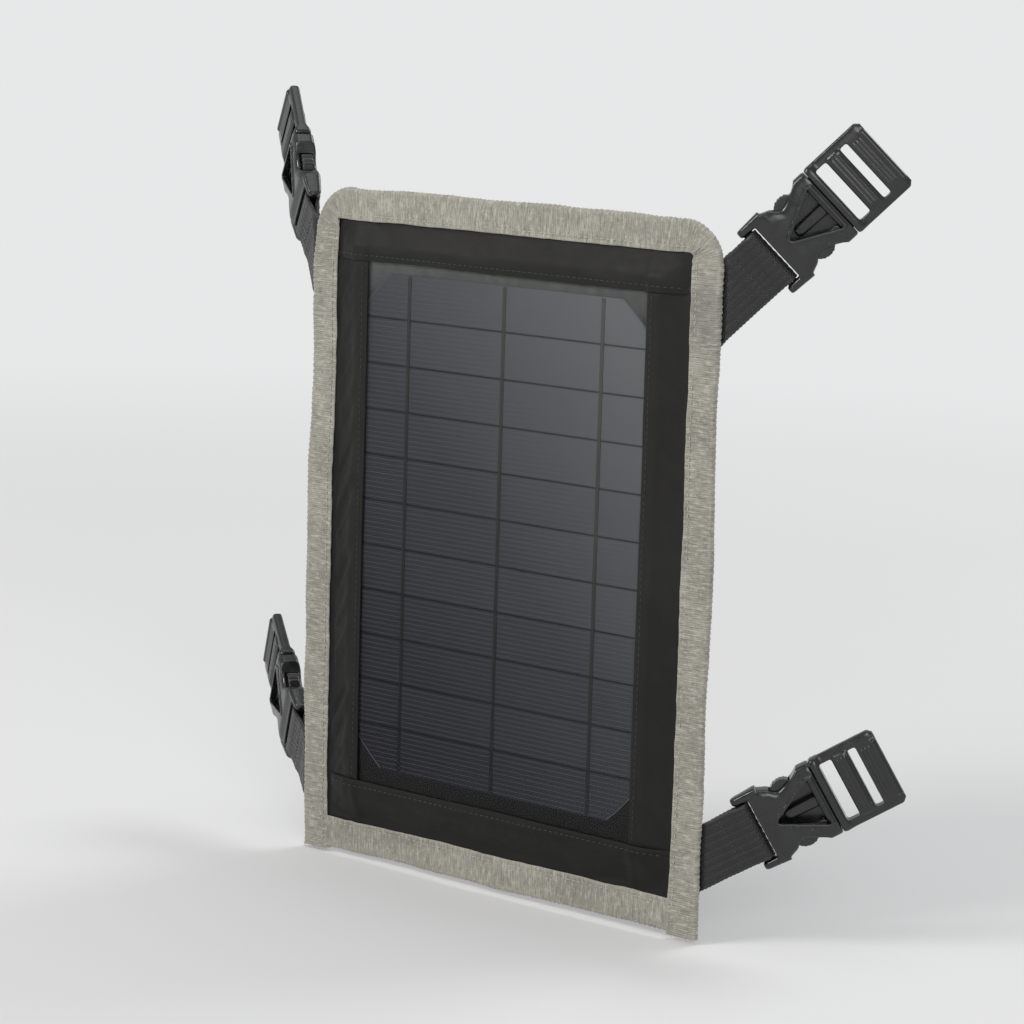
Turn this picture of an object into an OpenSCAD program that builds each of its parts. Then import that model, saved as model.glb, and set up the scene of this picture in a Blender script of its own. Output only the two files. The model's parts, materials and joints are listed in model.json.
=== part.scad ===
// Pack-mounted solar panel: a small crystalline laminate sewn into a bound
// fabric frame, carried by four webbing tabs with side-release buckles, with a
// USB regulator box on its back.
//
// Frame: X to the right, Z up, -Y is the front, which faces the sun.
// Origin: centre of the panel, on the flat back of the regulator box.
//
// Name endings: _w width, _h height, _t thickness, _len length, _r radius,
// _x, _y and _z place along an axis.

/* [Panel] */
// Width over the edge binding
panel_w = 218; // [214:1:226]
// Height over the edge binding
panel_h = 296; // [292:1:306]
// Radius of the two upper corners
corner_r = 20; // [12:1:26]
// Width of the binding tape on each face
tape_w = 14; // [11:0.5:15]
// Thickness of the binding tape
tape_t = 0.9; // [0.6:0.1:1.0]
// Thickness of the black pack cloth
cloth_t = 0.8; // [0.5:0.1:0.8]

/* [Window and laminate] */
// Width of the window in the cloth frame
window_w = 150; // [146:1:152]
// Height of the window in the cloth frame
window_h = 231; // [227:1:233]
// Height of the window's centre above the panel's centre
window_z = 1.5; // [0:0.5:2]
// Width of the laminate
laminate_w = 164; // [161:1:166]
// Height of the laminate
laminate_h = 245; // [242:1:248]
// Thickness of the laminate's board
board_t = 1.2; // [1.0:0.1:1.6]
// Thickness of the foam pad behind the laminate
foam_t = 1.0; // [1:0.5:4]

/* [Cells] */
// Number of cell strips in series
strips = 11; // [9:1:11]
// Width of one cell strip, the side of the wafer it is cut from
cell_w = 156; // [150:1:156]
// Distance from one strip to the next
strip_pitch = 20; // [18:0.5:20]
// Gap between strips
strip_gap = 0.9; // [0.5:0.1:1.5]
// Height of the cell array's centre above the panel's centre
cells_z = 3; // [2:0.5:4]
// Radius of the round wafer, which cuts the corners of the end strips
wafer_r = 100; // [98:1:102]
// Width of a tabbing ribbon
ribbon_w = 1.8; // [1.2:0.1:2.4]

/* [Webbing tabs] */
// Width of the webbing
web_w = 25; // [20:1:25]
// Thickness of the webbing
web_t = 1.4; // [1.2:0.1:1.6]
// Height of the upper tabs where they leave the panel
upper_z = 118; // [112:1:120]
// Height of the lower tabs where they leave the panel
lower_z = -113; // [-118:1:-108]
// Rise of the upper tabs above the horizontal, in degrees
upper_angle = 45; // [35:1:50]
// Rise of the lower tabs above the horizontal, in degrees
lower_angle = 30; // [20:1:40]
// Bend of each tab towards the back at the panel's edge, in degrees
bend = 35; // [20:1:40]
// Length of webbing from the panel's edge to the buckle's bar
tab_len = 22; // [20:1:30]
// Length of webbing sewn behind the panel
anchor_len = 42; // [35:1:50]

/* [Buckle] */
// Width of the buckle
buckle_w = 34; // [33:0.5:36]
// Thickness of the socket
buckle_t = 10.4; // [10:0.2:12]
// Radius of the bar that the webbing is looped round
bar_r = 2; // [1.8:0.1:2.1]
// Length of the socket from the bar's axis to its mouth
socket_len = 32.5; // [32:0.5:35]

/* [Regulator box] */
// Width of the box
box_w = 58; // [56:1:64]
// Height of the box
box_h = 38; // [38:1:42]
// How far the box stands behind the back cloth
box_out = 10.5; // [10.5:0.5:12]

/* [Hidden] */
$fn = 64;

cell_t = 0.25;
ribbon_t = 0.2;
film_t = 0.9;

// Levels through the thickness, from the back (0) to the front (negative).
y_back = -box_out;                    // rear of the back cloth
y_cloth = y_back - cloth_t;           // front of the back cloth
y_board = y_cloth - foam_t;           // rear of the laminate's board
y_cells = y_board - board_t;          // front of the board
y_ribbons = y_cells - cell_t;         // front of the cells
y_film = y_cells - film_t;            // front of the film
y_front = y_film - cloth_t;           // front of the raised border
y_edge = y_cloth - cloth_t;           // front of the border where it is bound
y_clear = -30;                        // in front of the whole panel

over = 1;                             // how far a cutter runs past a face
overlap = 0.01;                       // least overlap of two cutters

// Places of the two leads from the laminate, at +-lead_x
lead_x = 8;
lead_z = 4;

cloth_black = [0.1, 0.1, 0.1];
binding_grey = [0.6, 0.58, 0.54];
web_black = [0.08, 0.08, 0.08];
buckle_black = [0.07, 0.07, 0.08];
box_black = [0.06, 0.06, 0.07];

// --- helpers ---------------------------------------------------------------

// Extrudes a 2-D shape drawn in X and Z between two levels.
module layer(rear, front) {
    translate([0, rear, 0]) rotate([90, 0, 0]) linear_extrude(height = rear - front) children();
}

// Extrudes a plan in X and Z to thickness t about level y.
module plate(t, y = 0) {
    layer(y + t / 2, y - t / 2) children();
}

// A box given by its width, height and middle in X and Z, between two levels.
module slab(w, h, x, z, rear, front) {
    translate([x - w / 2, front, z - h / 2]) cube([w, rear - front, h]);
}

// A cylinder that runs forwards from [x, y, z].
module pin(x, y, z, r, h) {
    translate([x, y, z]) rotate([90, 0, 0]) cylinder(r = r, h = h);
}

// A box that runs along X from start, centred on the X axis.
module block(start, length, t, w) {
    translate([start, -t / 2, -w / 2]) cube([length, t, w]);
}

// A polygon symmetric about the X axis, given by its half on the positive side.
module symmetric_polygon(half) {
    last = len(half) - 1;
    polygon(concat([for (p = half) [p.x, -p.y]],
                   [for (i = [last : -1 : 0]) half[i]]));
}

// --- laminate ----------------------------------------------------------------

array_h = strips * strip_pitch;
strip_h = strip_pitch - strip_gap;
ribbon_h = array_h - 2;

module wafer(z) {
    pin(0, y_cells + over, z, r = wafer_r, h = 3, $fn = 128);
}

// Strip k, counted from the bottom; only the end strips keep the wafer's round corners.
module cell_strip(k) {
    bottom = cells_z - array_h / 2 + k * strip_pitch + strip_gap / 2;
    module full_strip() slab(cell_w, strip_h, 0, bottom + strip_h / 2, y_cells, y_ribbons);
    if (k == 0)
        intersection() {
            full_strip();
            wafer(bottom + cell_w / 2);
        }
    else if (k == strips - 1)
        intersection() {
            full_strip();
            wafer(bottom + strip_h - cell_w / 2);
        }
    else
        full_strip();
}

// Three upright bars, one on each ribbon's line, between two levels.
module ribbon_bars(rear, front) {
    for (i = [-1 : 1])
        slab(ribbon_w, ribbon_h, i * cell_w / 3, cells_z, rear, front);
}

module cell_strips() {
    color([0.13, 0.14, 0.2]) for (k = [0 : strips - 1]) cell_strip(k);
}

module tab_ribbons() {
    color([0.25, 0.26, 0.24]) ribbon_bars(y_ribbons, y_ribbons - ribbon_t);
}

module front_film() {
    color([0.3, 0.32, 0.36, 0.4]) difference() {
        slab(laminate_w, laminate_h, 0, window_z, y_cells, y_film);
        for (k = [0 : strips - 1]) cell_strip(k);
        ribbon_bars(y_ribbons + overlap, y_ribbons - ribbon_t);
        // the gaps between strips, behind the ribbons
        ribbon_bars(y_cells, y_ribbons);
    }
}

module laminate_board() {
    color([0.05, 0.05, 0.06]) difference() {
        slab(laminate_w, laminate_h, 0, window_z, y_board, y_cells);
        // vias that bring the two ends of the string to the back
        for (side = [-1, 1])
            pin(side * lead_x, y_board + over, lead_z, r = 0.8, h = board_t + 2 * over);
    }
}

module foam_pad() {
    color([0.1, 0.1, 0.1]) difference() {
        slab(laminate_w, laminate_h, 0, window_z, y_cloth, y_board);
        slab(box_w + 2, box_h + 2, 0, 0, y_cloth + over, y_board - over);
    }
}

// --- cloth ---------------------------------------------------------------------

flat_w = laminate_w + 1;   // inside of the border's raised part
flat_h = laminate_h + 1;
slope_w = 10;              // width of the border's slope at the sides
slope_h = 8.5;             // and at the top and bottom
border_cut = 60;           // width of the blocks that part the border's pieces

// The panel's outline, moved in by inset, with upper corners of radius r.
module outline(inset, r) {
    w = panel_w - 2 * inset;
    h = panel_h - 2 * inset;
    translate([-w / 2, -h / 2]) square([w, h - r]);
    translate([-w / 2 + r, -h / 2]) square([w - 2 * r, h]);
    for (side = [-1, 1])
        translate([side * (w / 2 - r), h / 2 - r]) circle(r = r);
}

// The cloth's outline, inside the binding tape's fold.
module cloth_outline() {
    outline(tape_t, corner_r - tape_t);
}

// Corners of a rectangle at level y, centred on the window.
function window_rect(w, h, y) = [
    for (corner = [[-1, -1], [1, -1], [1, 1], [-1, 1]])
        [corner.x * w / 2, y, window_z + corner.y * h / 2]];

// A straight-sided frustum between two levels, centred on the window.
module frustum(rear_w, rear_h, rear, front_w, front_h, front) {
    polyhedron(
        points = concat(window_rect(rear_w, rear_h, rear), window_rect(front_w, front_h, front)),
        faces = [[0,1,2,3], [4,5,1,0], [7,6,5,4], [5,6,2,1], [6,7,3,2], [7,4,0,3]]);
}

module back_cover() {
    color([0.09, 0.09, 0.09]) difference() {
        layer(y_back, y_cloth) cloth_outline();
        slab(box_w + 1, box_h + 1, 0, 0, y_back + over, y_cloth - over);
    }
}

// The whole front border: raised over the laminate, sloping down to the bound edge.
module border_shell() {
    foot_w = flat_w + 2 * slope_w;
    foot_h = flat_h + 2 * slope_h;
    extra = 1;  // outside of the slope over its inside, in width and height
    difference() {
        union() {
            layer(y_cloth, y_edge) cloth_outline();
            frustum(foot_w + extra, foot_h + extra, y_cloth - cloth_t / 2,
                    flat_w + extra, flat_h + extra, y_front);
        }
        frustum(foot_w, foot_h, y_cloth + overlap, flat_w, flat_h, y_film);
        slab(window_w, window_h, 0, window_z, y_cloth + over, y_front - over);
    }
}

// The border above (1) or below (-1) the window, over the panel's full width.
module border_end(side) {
    color(cloth_black) intersection() {
        border_shell();
        slab(panel_w + 2, border_cut, 0, window_z + side * (window_h + border_cut) / 2,
             0, y_clear);
    }
}

// The border to the right (1) or left (-1) of the window.
module border_side(side) {
    color(cloth_black) intersection() {
        border_shell();
        slab(border_cut, window_h, side * (window_w + border_cut) / 2, window_z, 0, y_clear);
    }
}

// The tape folded round the whole edge.
module binding_all() {
    rear = y_back + tape_t;
    front = y_edge - tape_t;
    difference() {
        layer(rear, front) outline(0, corner_r);
        layer(y_back, y_edge) cloth_outline();
        layer(rear + over, front - over) outline(tape_w, 2);
    }
}

// Encloses the part of the tape along the bottom, between the side tapes.
module binding_bottom_block() {
    slab(panel_w - 2 * tape_w, tape_w + 4, 0, -panel_h / 2 + tape_w / 2 - 2, 0, y_clear);
}

// Both sides and the top, in one piece.
module binding_sides() {
    color(binding_grey) difference() {
        binding_all();
        binding_bottom_block();
    }
}

module binding_bottom() {
    color(binding_grey) intersection() {
        binding_all();
        binding_bottom_block();
    }
}

// --- webbing tabs -----------------------------------------------------------------

// The four tabs: side (1 right, -1 left), rise in degrees, height.
upper_right = [1, upper_angle, upper_z];
upper_left = [-1, upper_angle, upper_z];
lower_right = [1, lower_angle, lower_z];
lower_left = [-1, lower_angle, lower_z];
function rise(tab) = tab[1];

fold_x = panel_w / 2 + 2;               // line where the tabs fold
strap_y = y_back + tape_t + web_t / 2;  // middle of the webbing

// Puts the origin on a tab's fold line; left tabs are mirrored.
module at_fold(tab) {
    if (tab[0] > 0)
        translate([fold_x, strap_y, tab[2]]) children();
    else
        mirror([1, 0, 0]) translate([fold_x, strap_y, tab[2]]) children();
}

// A buckle's frame: X along the webbing from the bar, Z across it, -Y outwards.
module at_bar(tab) {
    at_fold(tab) rotate([0, 0, bend]) rotate([0, -rise(tab), 0])
        translate([tab_len, 0, 0]) children();
}

// The part sewn behind the panel, cut off just short of the fold line.
module tab_anchor(tab) {
    cut_len = 100;  // size of the block that keeps the part behind the panel
    color(web_black) at_fold(tab) intersection() {
        rotate([0, -rise(tab), 0]) block(-anchor_len, anchor_len + 30, web_t, web_w);
        block(-cut_len, cut_len - web_t / 2 - 0.1, 10, 2 * cut_len);
    }
}

// The webbing's path round the buckle's bar, in the plane of its thickness.
module loop_path() {
    inner_r = bar_r + 0.05;
    outer_r = inner_r + web_t;
    start = -20;           // start of the path, trimmed off later at the fold
    pinch = inner_r - 0.25;
    difference() {
        union() {
            translate([tab_len, 0]) circle(r = outer_r);
            symmetric_polygon([
                [tab_len, outer_r],
                [tab_len - 11, web_t],
                [tab_len - 16, web_t],
                [tab_len - 17, web_t / 2],
                [start, web_t / 2]]);
        }
        translate([tab_len, 0]) circle(r = inner_r);
        polygon([[tab_len, pinch], [tab_len - 8, 0], [tab_len, -pinch]]);
    }
}

// The space beyond x from the fold line, t thick.
module beyond_fold(x, t) {
    translate([x, -t / 2, -60]) cube([120, t, 160]);
}

// Its end at the fold is rounded about the fold line, so it turns there.
module tab_loop(tab) {
    fold_len = web_w / cos(rise(tab)) - web_t * tan(rise(tab));
    color(web_black) at_fold(tab) rotate([0, 0, bend]) union() {
        // single layer up to the fold line, doubled only where it is clear of it
        intersection() {
            rotate([0, -rise(tab), 0]) translate([0, 0, -web_w / 2])
                linear_extrude(height = web_w) loop_path();
            union() {
                beyond_fold(0, web_t);
                beyond_fold(2.2, 20);
            }
        }
        cylinder(r = web_t / 2, h = fold_len, center = true);
    }
}

// --- buckle -------------------------------------------------------------------------
// Lengths along the buckle are measured in X from the bar's axis.

scallop_r = 12;         // radius of the side windows
scallop_x = 18.5;       // place of their middles
cavity_w = buckle_w - 7;
cavity_t = 6.4;
frame_len = 29;         // length of the plug outside the socket

// Plan of a rounded rectangle from start to end along X and width w along Z.
module round_plan(start, end, w, r) {
    translate([start + r, -w / 2]) square([end - start - 2 * r, w]);
    translate([start, -w / 2 + r]) square([end - start, w - 2 * r]);
    for (x = [start + r, end - r], y = [-w / 2 + r, w / 2 - r])
        translate([x, y]) circle(r = r, $fn = 32);
}

// Outline of the triangular window in the front face, with clipped corners.
module window_plan() {
    symmetric_polygon([[11.5, 0.8], [socket_len - 3.2, 10.2], [socket_len - 2.4, 9.4]]);
}

module rim_plan() {
    symmetric_polygon([[10.2, 1.2], [socket_len - 3.3, 11.5], [socket_len - 1.2, 10.6]]);
}

module socket_shape() {
    cheek_z = web_w / 2 + 2.5;
    cheek_w = 3.4;
    bar_end = web_w / 2 + 3;
    window_rear = -cavity_t / 2 + 0.5;
    rim_rear = -buckle_t / 2 + 0.1;
    difference() {
        union() {
            // softened shell
            hull() {
                plate(buckle_t - 3) round_plan(4.8, socket_len, buckle_w, r = 3);
                plate(buckle_t) round_plan(6.6, socket_len - 1, buckle_w - 4, r = 3);
            }
            // cheeks that carry the bar
            for (side = [-1, 1])
                hull() {
                    translate([0, 0, side * cheek_z])
                        cylinder(r = bar_r + 1.2, h = cheek_w, center = true, $fn = 32);
                    translate([9, 0, side * cheek_z])
                        cube([2, buckle_t - 4, cheek_w], center = true);
                }
            translate([0, 0, -bar_end]) cylinder(r = bar_r, h = 2 * bar_end);
        }
        // cavity, open at the mouth
        block(8.2, socket_len, cavity_t, cavity_w);
        // scalloped side windows
        for (side = [-1, 1])
            translate([scallop_x, 0, side * (buckle_w / 2 + scallop_r - 4.6)])
                rotate([90, 0, 0]) cylinder(r = scallop_r, h = 20, center = true);
        layer(window_rear, window_rear - 10) window_plan();
    }
    // raised rim round the triangular window
    layer(rim_rear, rim_rear - 0.6) difference() {
        rim_plan();
        window_plan();
    }
}

module socket(tab) {
    color(buckle_black) at_bar(tab) socket_shape();
}

// The plug: a stub that fills the mouth, a central tongue, and a ladder frame
// for the host's strap.
module plug_shape() {
    shoulder = socket_len + 0.3;       // where the plug meets the socket's mouth
    frame_end = shoulder + frame_len;
    slot_w = web_w + 1.4;
    cut_t = 20;
    difference() {
        union() {
            block(shoulder - 4, 5, 6, cavity_w - 0.8);
            // collar against the mouth
            hull() {
                plate(7) round_plan(shoulder, shoulder + 3.4, buckle_w, r = 1.2);
                plate(9) round_plan(shoulder + 0.4, shoulder + 2.8, buckle_w - 2.4, r = 1);
            }
            // ladder frame
            plate(5) round_plan(shoulder + 0.5, frame_end, buckle_w, r = 2.5);
            // raised middle bar
            plate(6.6) round_plan(shoulder + 9.4, shoulder + 16, slot_w + 2, r = 1);
            // grip lip on the end bar
            plate(6.2, y = -0.3) round_plan(frame_end - 3.2, frame_end - 0.6, slot_w, r = 1);
            // central tongue, with its rounded nose
            plate(3) round_plan(14, shoulder, 5, r = 1.2);
        }
        // slot next to the socket
        plate(cut_t) round_plan(shoulder + 3.4, shoulder + 9, slot_w, r = 0.8);
        // slot between the middle bar and the end bar
        plate(cut_t) round_plan(shoulder + 16.4, shoulder + 20, slot_w, r = 0.8);
    }
}

module plug(tab) {
    color(buckle_black) at_bar(tab) plug_shape();
}

arm_root = socket_len - 5.3;  // where a spring arm bends
arm_z = 9.2;                  // its distance from the middle

// Outline of a spring arm [X, Z]: along the outside from the root to the head,
// round the head, and back along the inside.
arm_points = [
    [arm_root + 0.6, arm_z + 1.1],
    [arm_root - 3, arm_z + 1.4],
    [scallop_x + 4.4, 12.9],
    [scallop_x + 3.7, 14.0],
    [scallop_x + 2.3, 14.9],
    [scallop_x, 15.3],
    [scallop_x - 2.3, 14.9],
    [scallop_x - 3.9, 14.0],
    [scallop_x - 4.9, 13.0],
    [scallop_x - 8.3, 11.4],
    [scallop_x - 9.3, arm_z - 0.2],
    [scallop_x - 8, arm_z - 1.8],
    [arm_root - 9, arm_z - 1.3],
    [arm_root + 0.6, arm_z - 1.1]];

// One spring arm, drawn on the +Z side: root, beam, and a head that fills the side window.
module arm_shape() {
    plate(5) union() {
        translate([arm_root, arm_z]) circle(r = 1.4, $fn = 48);
        polygon(arm_points);
    }
}

// The arm on a buckle's +Z side if above is true, else on its -Z side.
module arm(tab, above) {
    color(buckle_black) at_bar(tab)
        if (above) arm_shape(); else mirror([0, 0, 1]) arm_shape();
}

// --- regulator box ------------------------------------------------------------------

lid_t = 2.2;
wall_t = 1.8;
floor_t = 1.2;           // wall of the base next to the laminate
screw_inset = 4.2;
screw_x = box_w / 2 - screw_inset;
screw_z = box_h / 2 - screw_inset;

usb_x = 9;               // middle of the port
usb_y = -6.6;            // level of the port's middle
usb_w = 13.2;
usb_t = 5.8;
usb_len = 14;
usb_z = -box_h / 2 + 0.4 + usb_len / 2;
usb_wall = 0.35;
port_gap = 0.15;         // clearance round the USB socket

pcb_y = usb_y - usb_t / 2 - 0.1;  // rear of the circuit board, which carries the parts
pcb_t = 1.2;
led_x = -14;
led_z = 8;

flap_y = -1.1;           // axis of the port flap's hinge
flap_z = -box_h / 2 - 1.15;
flap_w = 17;
flap_front = y_back + 0.15;

// The box's plan, moved in by inset.
module box_plan(inset = 0) {
    w = box_w - 2 * inset;
    h = box_h - 2 * inset;
    r = 3.5 - min(inset, 2.5);
    translate([-w / 2 + r, -h / 2]) square([w - 2 * r, h]);
    translate([-w / 2, -h / 2 + r]) square([w, h - 2 * r]);
    for (x = [-1, 1], z = [-1, 1])
        translate([x * (w / 2 - r), z * (h / 2 - r)]) circle(r = r);
}

module at_screws() {
    for (x = [-1, 1], z = [-1, 1])
        translate([x * screw_x, 0, z * screw_z]) children();
}

// A cylinder along the flap's hinge.
module hinge_rod(r, length) {
    translate([usb_x, flap_y, flap_z]) rotate([0, 90, 0])
        cylinder(r = r, h = length, center = true);
}

module reg_box_base() {
    post_y = pcb_y - pcb_t - 0.1;
    color(box_black) difference() {
        union() {
            difference() {
                layer(-lid_t, y_board) box_plan();
                layer(-lid_t + over, y_board + floor_t) box_plan(wall_t);
            }
            at_screws() pin(0, -lid_t, 0, r = 2.6, h = -lid_t - y_board);
            // posts in front of the circuit board
            for (side = [-1, 1])
                pin(side * 16, post_y, 0, r = 2, h = post_y - y_board);
        }
        at_screws() pin(0, -lid_t + over, 0, r = 0.9, h = 8);
        // port
        slab(usb_w + 2 * port_gap, 10, usb_x, -box_h / 2,
             usb_y + usb_t / 2 + port_gap, usb_y - usb_t / 2 - port_gap);
        // holes for the leads
        for (side = [-1, 1])
            pin(side * lead_x, y_board + 3, lead_z, r = 1.4, h = 6);
    }
}

module reg_box_lid() {
    lip_h = 1.2;
    lip_clear = -8;  // level in front of the lip
    color(box_black) difference() {
        union() {
            layer(0, -lid_t) box_plan();
            // lugs and pin of the port flap
            for (side = [-1, 1])
                slab(2.8, 2.6, usb_x + side * 10.2, flap_z + 0.35, -0.1, -2.1);
            hinge_rod(r = 0.5, length = 20);
            // locating lip, broken at the screws and the port
            difference() {
                layer(-lid_t, -lid_t - lip_h) box_plan(wall_t + 0.1);
                layer(-lid_t + over, -lid_t - 3) box_plan(wall_t + 1.2);
                for (x = [-1, 1], z = [-1, 1])
                    slab(9.5, 9.5, x * (screw_x + 1), z * (screw_z + 1), 0, lip_clear);
                slab(usb_w + 2, 12, usb_x, -box_h / 2, 0, lip_clear);
            }
        }
        // screw holes and the recesses for their heads
        at_screws() {
            pin(0, over, 0, r = 1.15, h = 8);
            pin(0, over, 0, r = 2.1, h = 2.3);
        }
        // hole for the indicator
        pin(led_x, over, led_z, r = 1.55, h = 8);
    }
}

module lid_screws() {
    slot_len = 2.4;
    slot_w = 0.5;
    color([0.6, 0.6, 0.62]) at_screws()
        translate([0, -0.35, 0]) rotate([90, 0, 0]) difference() {
            union() {
                cylinder(r = 1.95, h = 0.95);
                cylinder(r = 0.88, h = 7);
            }
            // crossed slots in the head
            for (angle = [0, 90])
                rotate([0, 0, angle])
                    translate([-slot_len / 2, -slot_w / 2, -0.1]) cube([slot_len, slot_w, 0.7]);
        }
}

module regulator_board() {
    color([0.05, 0.25, 0.12]) slab(44, 27, 0, 0.5, pcb_y, pcb_y - pcb_t);
}

module usb_socket() {
    color([0.75, 0.75, 0.77]) difference() {
        slab(usb_w, usb_len, usb_x, usb_z, usb_y + usb_t / 2, usb_y - usb_t / 2);
        // inside, open at the bottom
        slab(usb_w - 2 * usb_wall, usb_len, usb_x, usb_z - 1,
             usb_y + usb_t / 2 - usb_wall, usb_y - usb_t / 2 + usb_wall);
    }
}

module usb_tongue() {
    color([0.9, 0.9, 0.92])
        slab(11.1, 11.4, usb_x, -box_h / 2 + 7.6, usb_y + 1.9, usb_y + 0.2);
}

// Stands a part on the circuit board, with its Z towards the back.
module on_board(x, z) {
    translate([x, pcb_y, z]) rotate([-90, 0, 0]) children();
}

module inductor() {
    color([0.2, 0.2, 0.2]) on_board(-6, -4) cylinder(r = 4, h = 4.2);
}

module capacitor() {
    color([0.55, 0.57, 0.6]) on_board(-16, -4.5) cylinder(r = 3.15, h = 5.4);
}

module regulator_chip() {
    color([0.05, 0.05, 0.05]) slab(5, 4, 4, 8, pcb_y + 1.5, pcb_y);
}

// Its stem reaches into the hole in the lid.
module indicator_led() {
    color([0.8, 0.2, 0.1]) on_board(led_x, led_z) {
        cylinder(r = 1.9, h = 2.2);
        cylinder(r = 1.45, h = -0.6 - pcb_y);
    }
}

// A lead runs from the back of the laminate to the regulator's circuit board.
module lead(side) {
    gap = 0.02;  // clearance at each end
    translate([side * lead_x, y_board + gap, lead_z]) rotate([-90, 0, 0])
        cylinder(r = 0.65, h = pcb_y - pcb_t - y_board - 2 * gap, $fn = 24);
}

module lead_positive() {
    color([0.7, 0.05, 0.05]) lead(-1);
}

module lead_negative() {
    color([0.05, 0.05, 0.05]) lead(1);
}

// Soft cover over the port: knuckle along X, plate, and pull lip.
module port_flap() {
    color([0.08, 0.08, 0.08]) difference() {
        union() {
            hinge_rod(r = 1, length = flap_w);
            slab(flap_w, 1.6, usb_x, flap_z, flap_y, flap_front);
            slab(8, 1.5, usb_x, flap_z - 1.15, flap_front + 1.6, flap_front);
        }
        hinge_rod(r = 0.56, length = 30);
    }
}

// --- what is drawn -------------------------------------------------------------------

cell_strips();
tab_ribbons();
front_film();
laminate_board();
foam_pad();
back_cover();
border_end(1);  // border_top
border_end(-1);  // border_bottom
border_side(-1);  // border_left
border_side(1);  // border_right
binding_sides();
binding_bottom();
reg_box_base();
reg_box_lid();
lid_screws();
regulator_board();
usb_socket();
usb_tongue();
inductor();
capacitor();
regulator_chip();
indicator_led();
lead_positive();
lead_negative();
port_flap();
tab_anchor(upper_right);  // tab_anchor_upper_right
tab_anchor(upper_left);  // tab_anchor_upper_left
tab_anchor(lower_right);  // tab_anchor_lower_right
tab_anchor(lower_left);  // tab_anchor_lower_left
tab_loop(upper_right);  // tab_loop_upper_right
tab_loop(upper_left);  // tab_loop_upper_left
tab_loop(lower_right);  // tab_loop_lower_right
tab_loop(lower_left);  // tab_loop_lower_left
socket(upper_right);  // socket_upper_right
socket(upper_left);  // socket_upper_left
socket(lower_right);  // socket_lower_right
socket(lower_left);  // socket_lower_left
plug(upper_right);  // plug_upper_right
plug(upper_left);  // plug_upper_left
plug(lower_right);  // plug_lower_right
plug(lower_left);  // plug_lower_left
arm(upper_right, false);  // arm_in_upper_right
arm(upper_left, false);  // arm_in_upper_left
arm(lower_right, false);  // arm_in_lower_right
arm(lower_left, false);  // arm_in_lower_left
arm(upper_right, true);  // arm_out_upper_right
arm(upper_left, true);  // arm_out_upper_left
arm(lower_right, true);  // arm_out_lower_right
arm(lower_left, true);  // arm_out_lower_left
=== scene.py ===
"""A soft solar panel with four buckled webbing tabs and a regulator box behind it.

The panel stands upright in the XZ plane, centred on the origin: its front looks towards -Y,
+X is its right as seen from the front, and +Z is up. Sizes are in millimetres until a mesh,
light or camera is made. A `side` of -1 or 1 is left or right, or bottom or top.
"""

import json
import math
from types import SimpleNamespace

import bmesh
import bpy
import numpy as np
from mathutils import Matrix, Vector

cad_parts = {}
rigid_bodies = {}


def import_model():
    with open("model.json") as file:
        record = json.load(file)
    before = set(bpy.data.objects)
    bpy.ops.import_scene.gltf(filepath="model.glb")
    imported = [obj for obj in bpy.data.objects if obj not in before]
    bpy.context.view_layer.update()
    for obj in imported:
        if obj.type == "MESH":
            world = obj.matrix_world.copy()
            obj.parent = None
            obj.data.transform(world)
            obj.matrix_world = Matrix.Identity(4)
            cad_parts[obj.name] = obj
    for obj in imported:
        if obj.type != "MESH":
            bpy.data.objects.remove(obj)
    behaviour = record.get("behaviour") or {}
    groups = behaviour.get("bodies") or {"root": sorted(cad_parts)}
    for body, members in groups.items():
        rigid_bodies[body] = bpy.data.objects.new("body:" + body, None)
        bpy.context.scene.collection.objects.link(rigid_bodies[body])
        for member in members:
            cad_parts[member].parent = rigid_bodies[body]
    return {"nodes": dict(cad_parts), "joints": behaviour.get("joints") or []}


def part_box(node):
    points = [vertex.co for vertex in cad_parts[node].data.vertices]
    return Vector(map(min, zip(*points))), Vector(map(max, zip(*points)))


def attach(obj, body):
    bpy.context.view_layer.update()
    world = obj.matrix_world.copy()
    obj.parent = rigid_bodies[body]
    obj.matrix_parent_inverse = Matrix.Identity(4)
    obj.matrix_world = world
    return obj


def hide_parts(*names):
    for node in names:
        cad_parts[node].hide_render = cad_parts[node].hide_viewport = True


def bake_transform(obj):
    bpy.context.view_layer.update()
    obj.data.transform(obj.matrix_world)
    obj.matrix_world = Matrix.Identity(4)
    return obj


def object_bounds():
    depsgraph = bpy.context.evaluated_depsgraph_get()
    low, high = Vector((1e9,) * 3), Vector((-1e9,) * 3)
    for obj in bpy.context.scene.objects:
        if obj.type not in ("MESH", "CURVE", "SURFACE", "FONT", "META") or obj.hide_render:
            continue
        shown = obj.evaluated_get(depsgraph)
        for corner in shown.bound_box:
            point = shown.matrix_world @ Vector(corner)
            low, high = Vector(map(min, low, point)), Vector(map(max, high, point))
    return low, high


for old in list(bpy.data.objects):
    bpy.data.objects.remove(old, do_unlink=True)

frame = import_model()
cad_lo, cad_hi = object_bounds()
PI = math.pi

# ---------------------------------------------------------------- sizes from the CAD nodes


def box_mm(node):
    low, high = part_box(node)
    return [v * 1000 for v in low], [v * 1000 for v in high]


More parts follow.
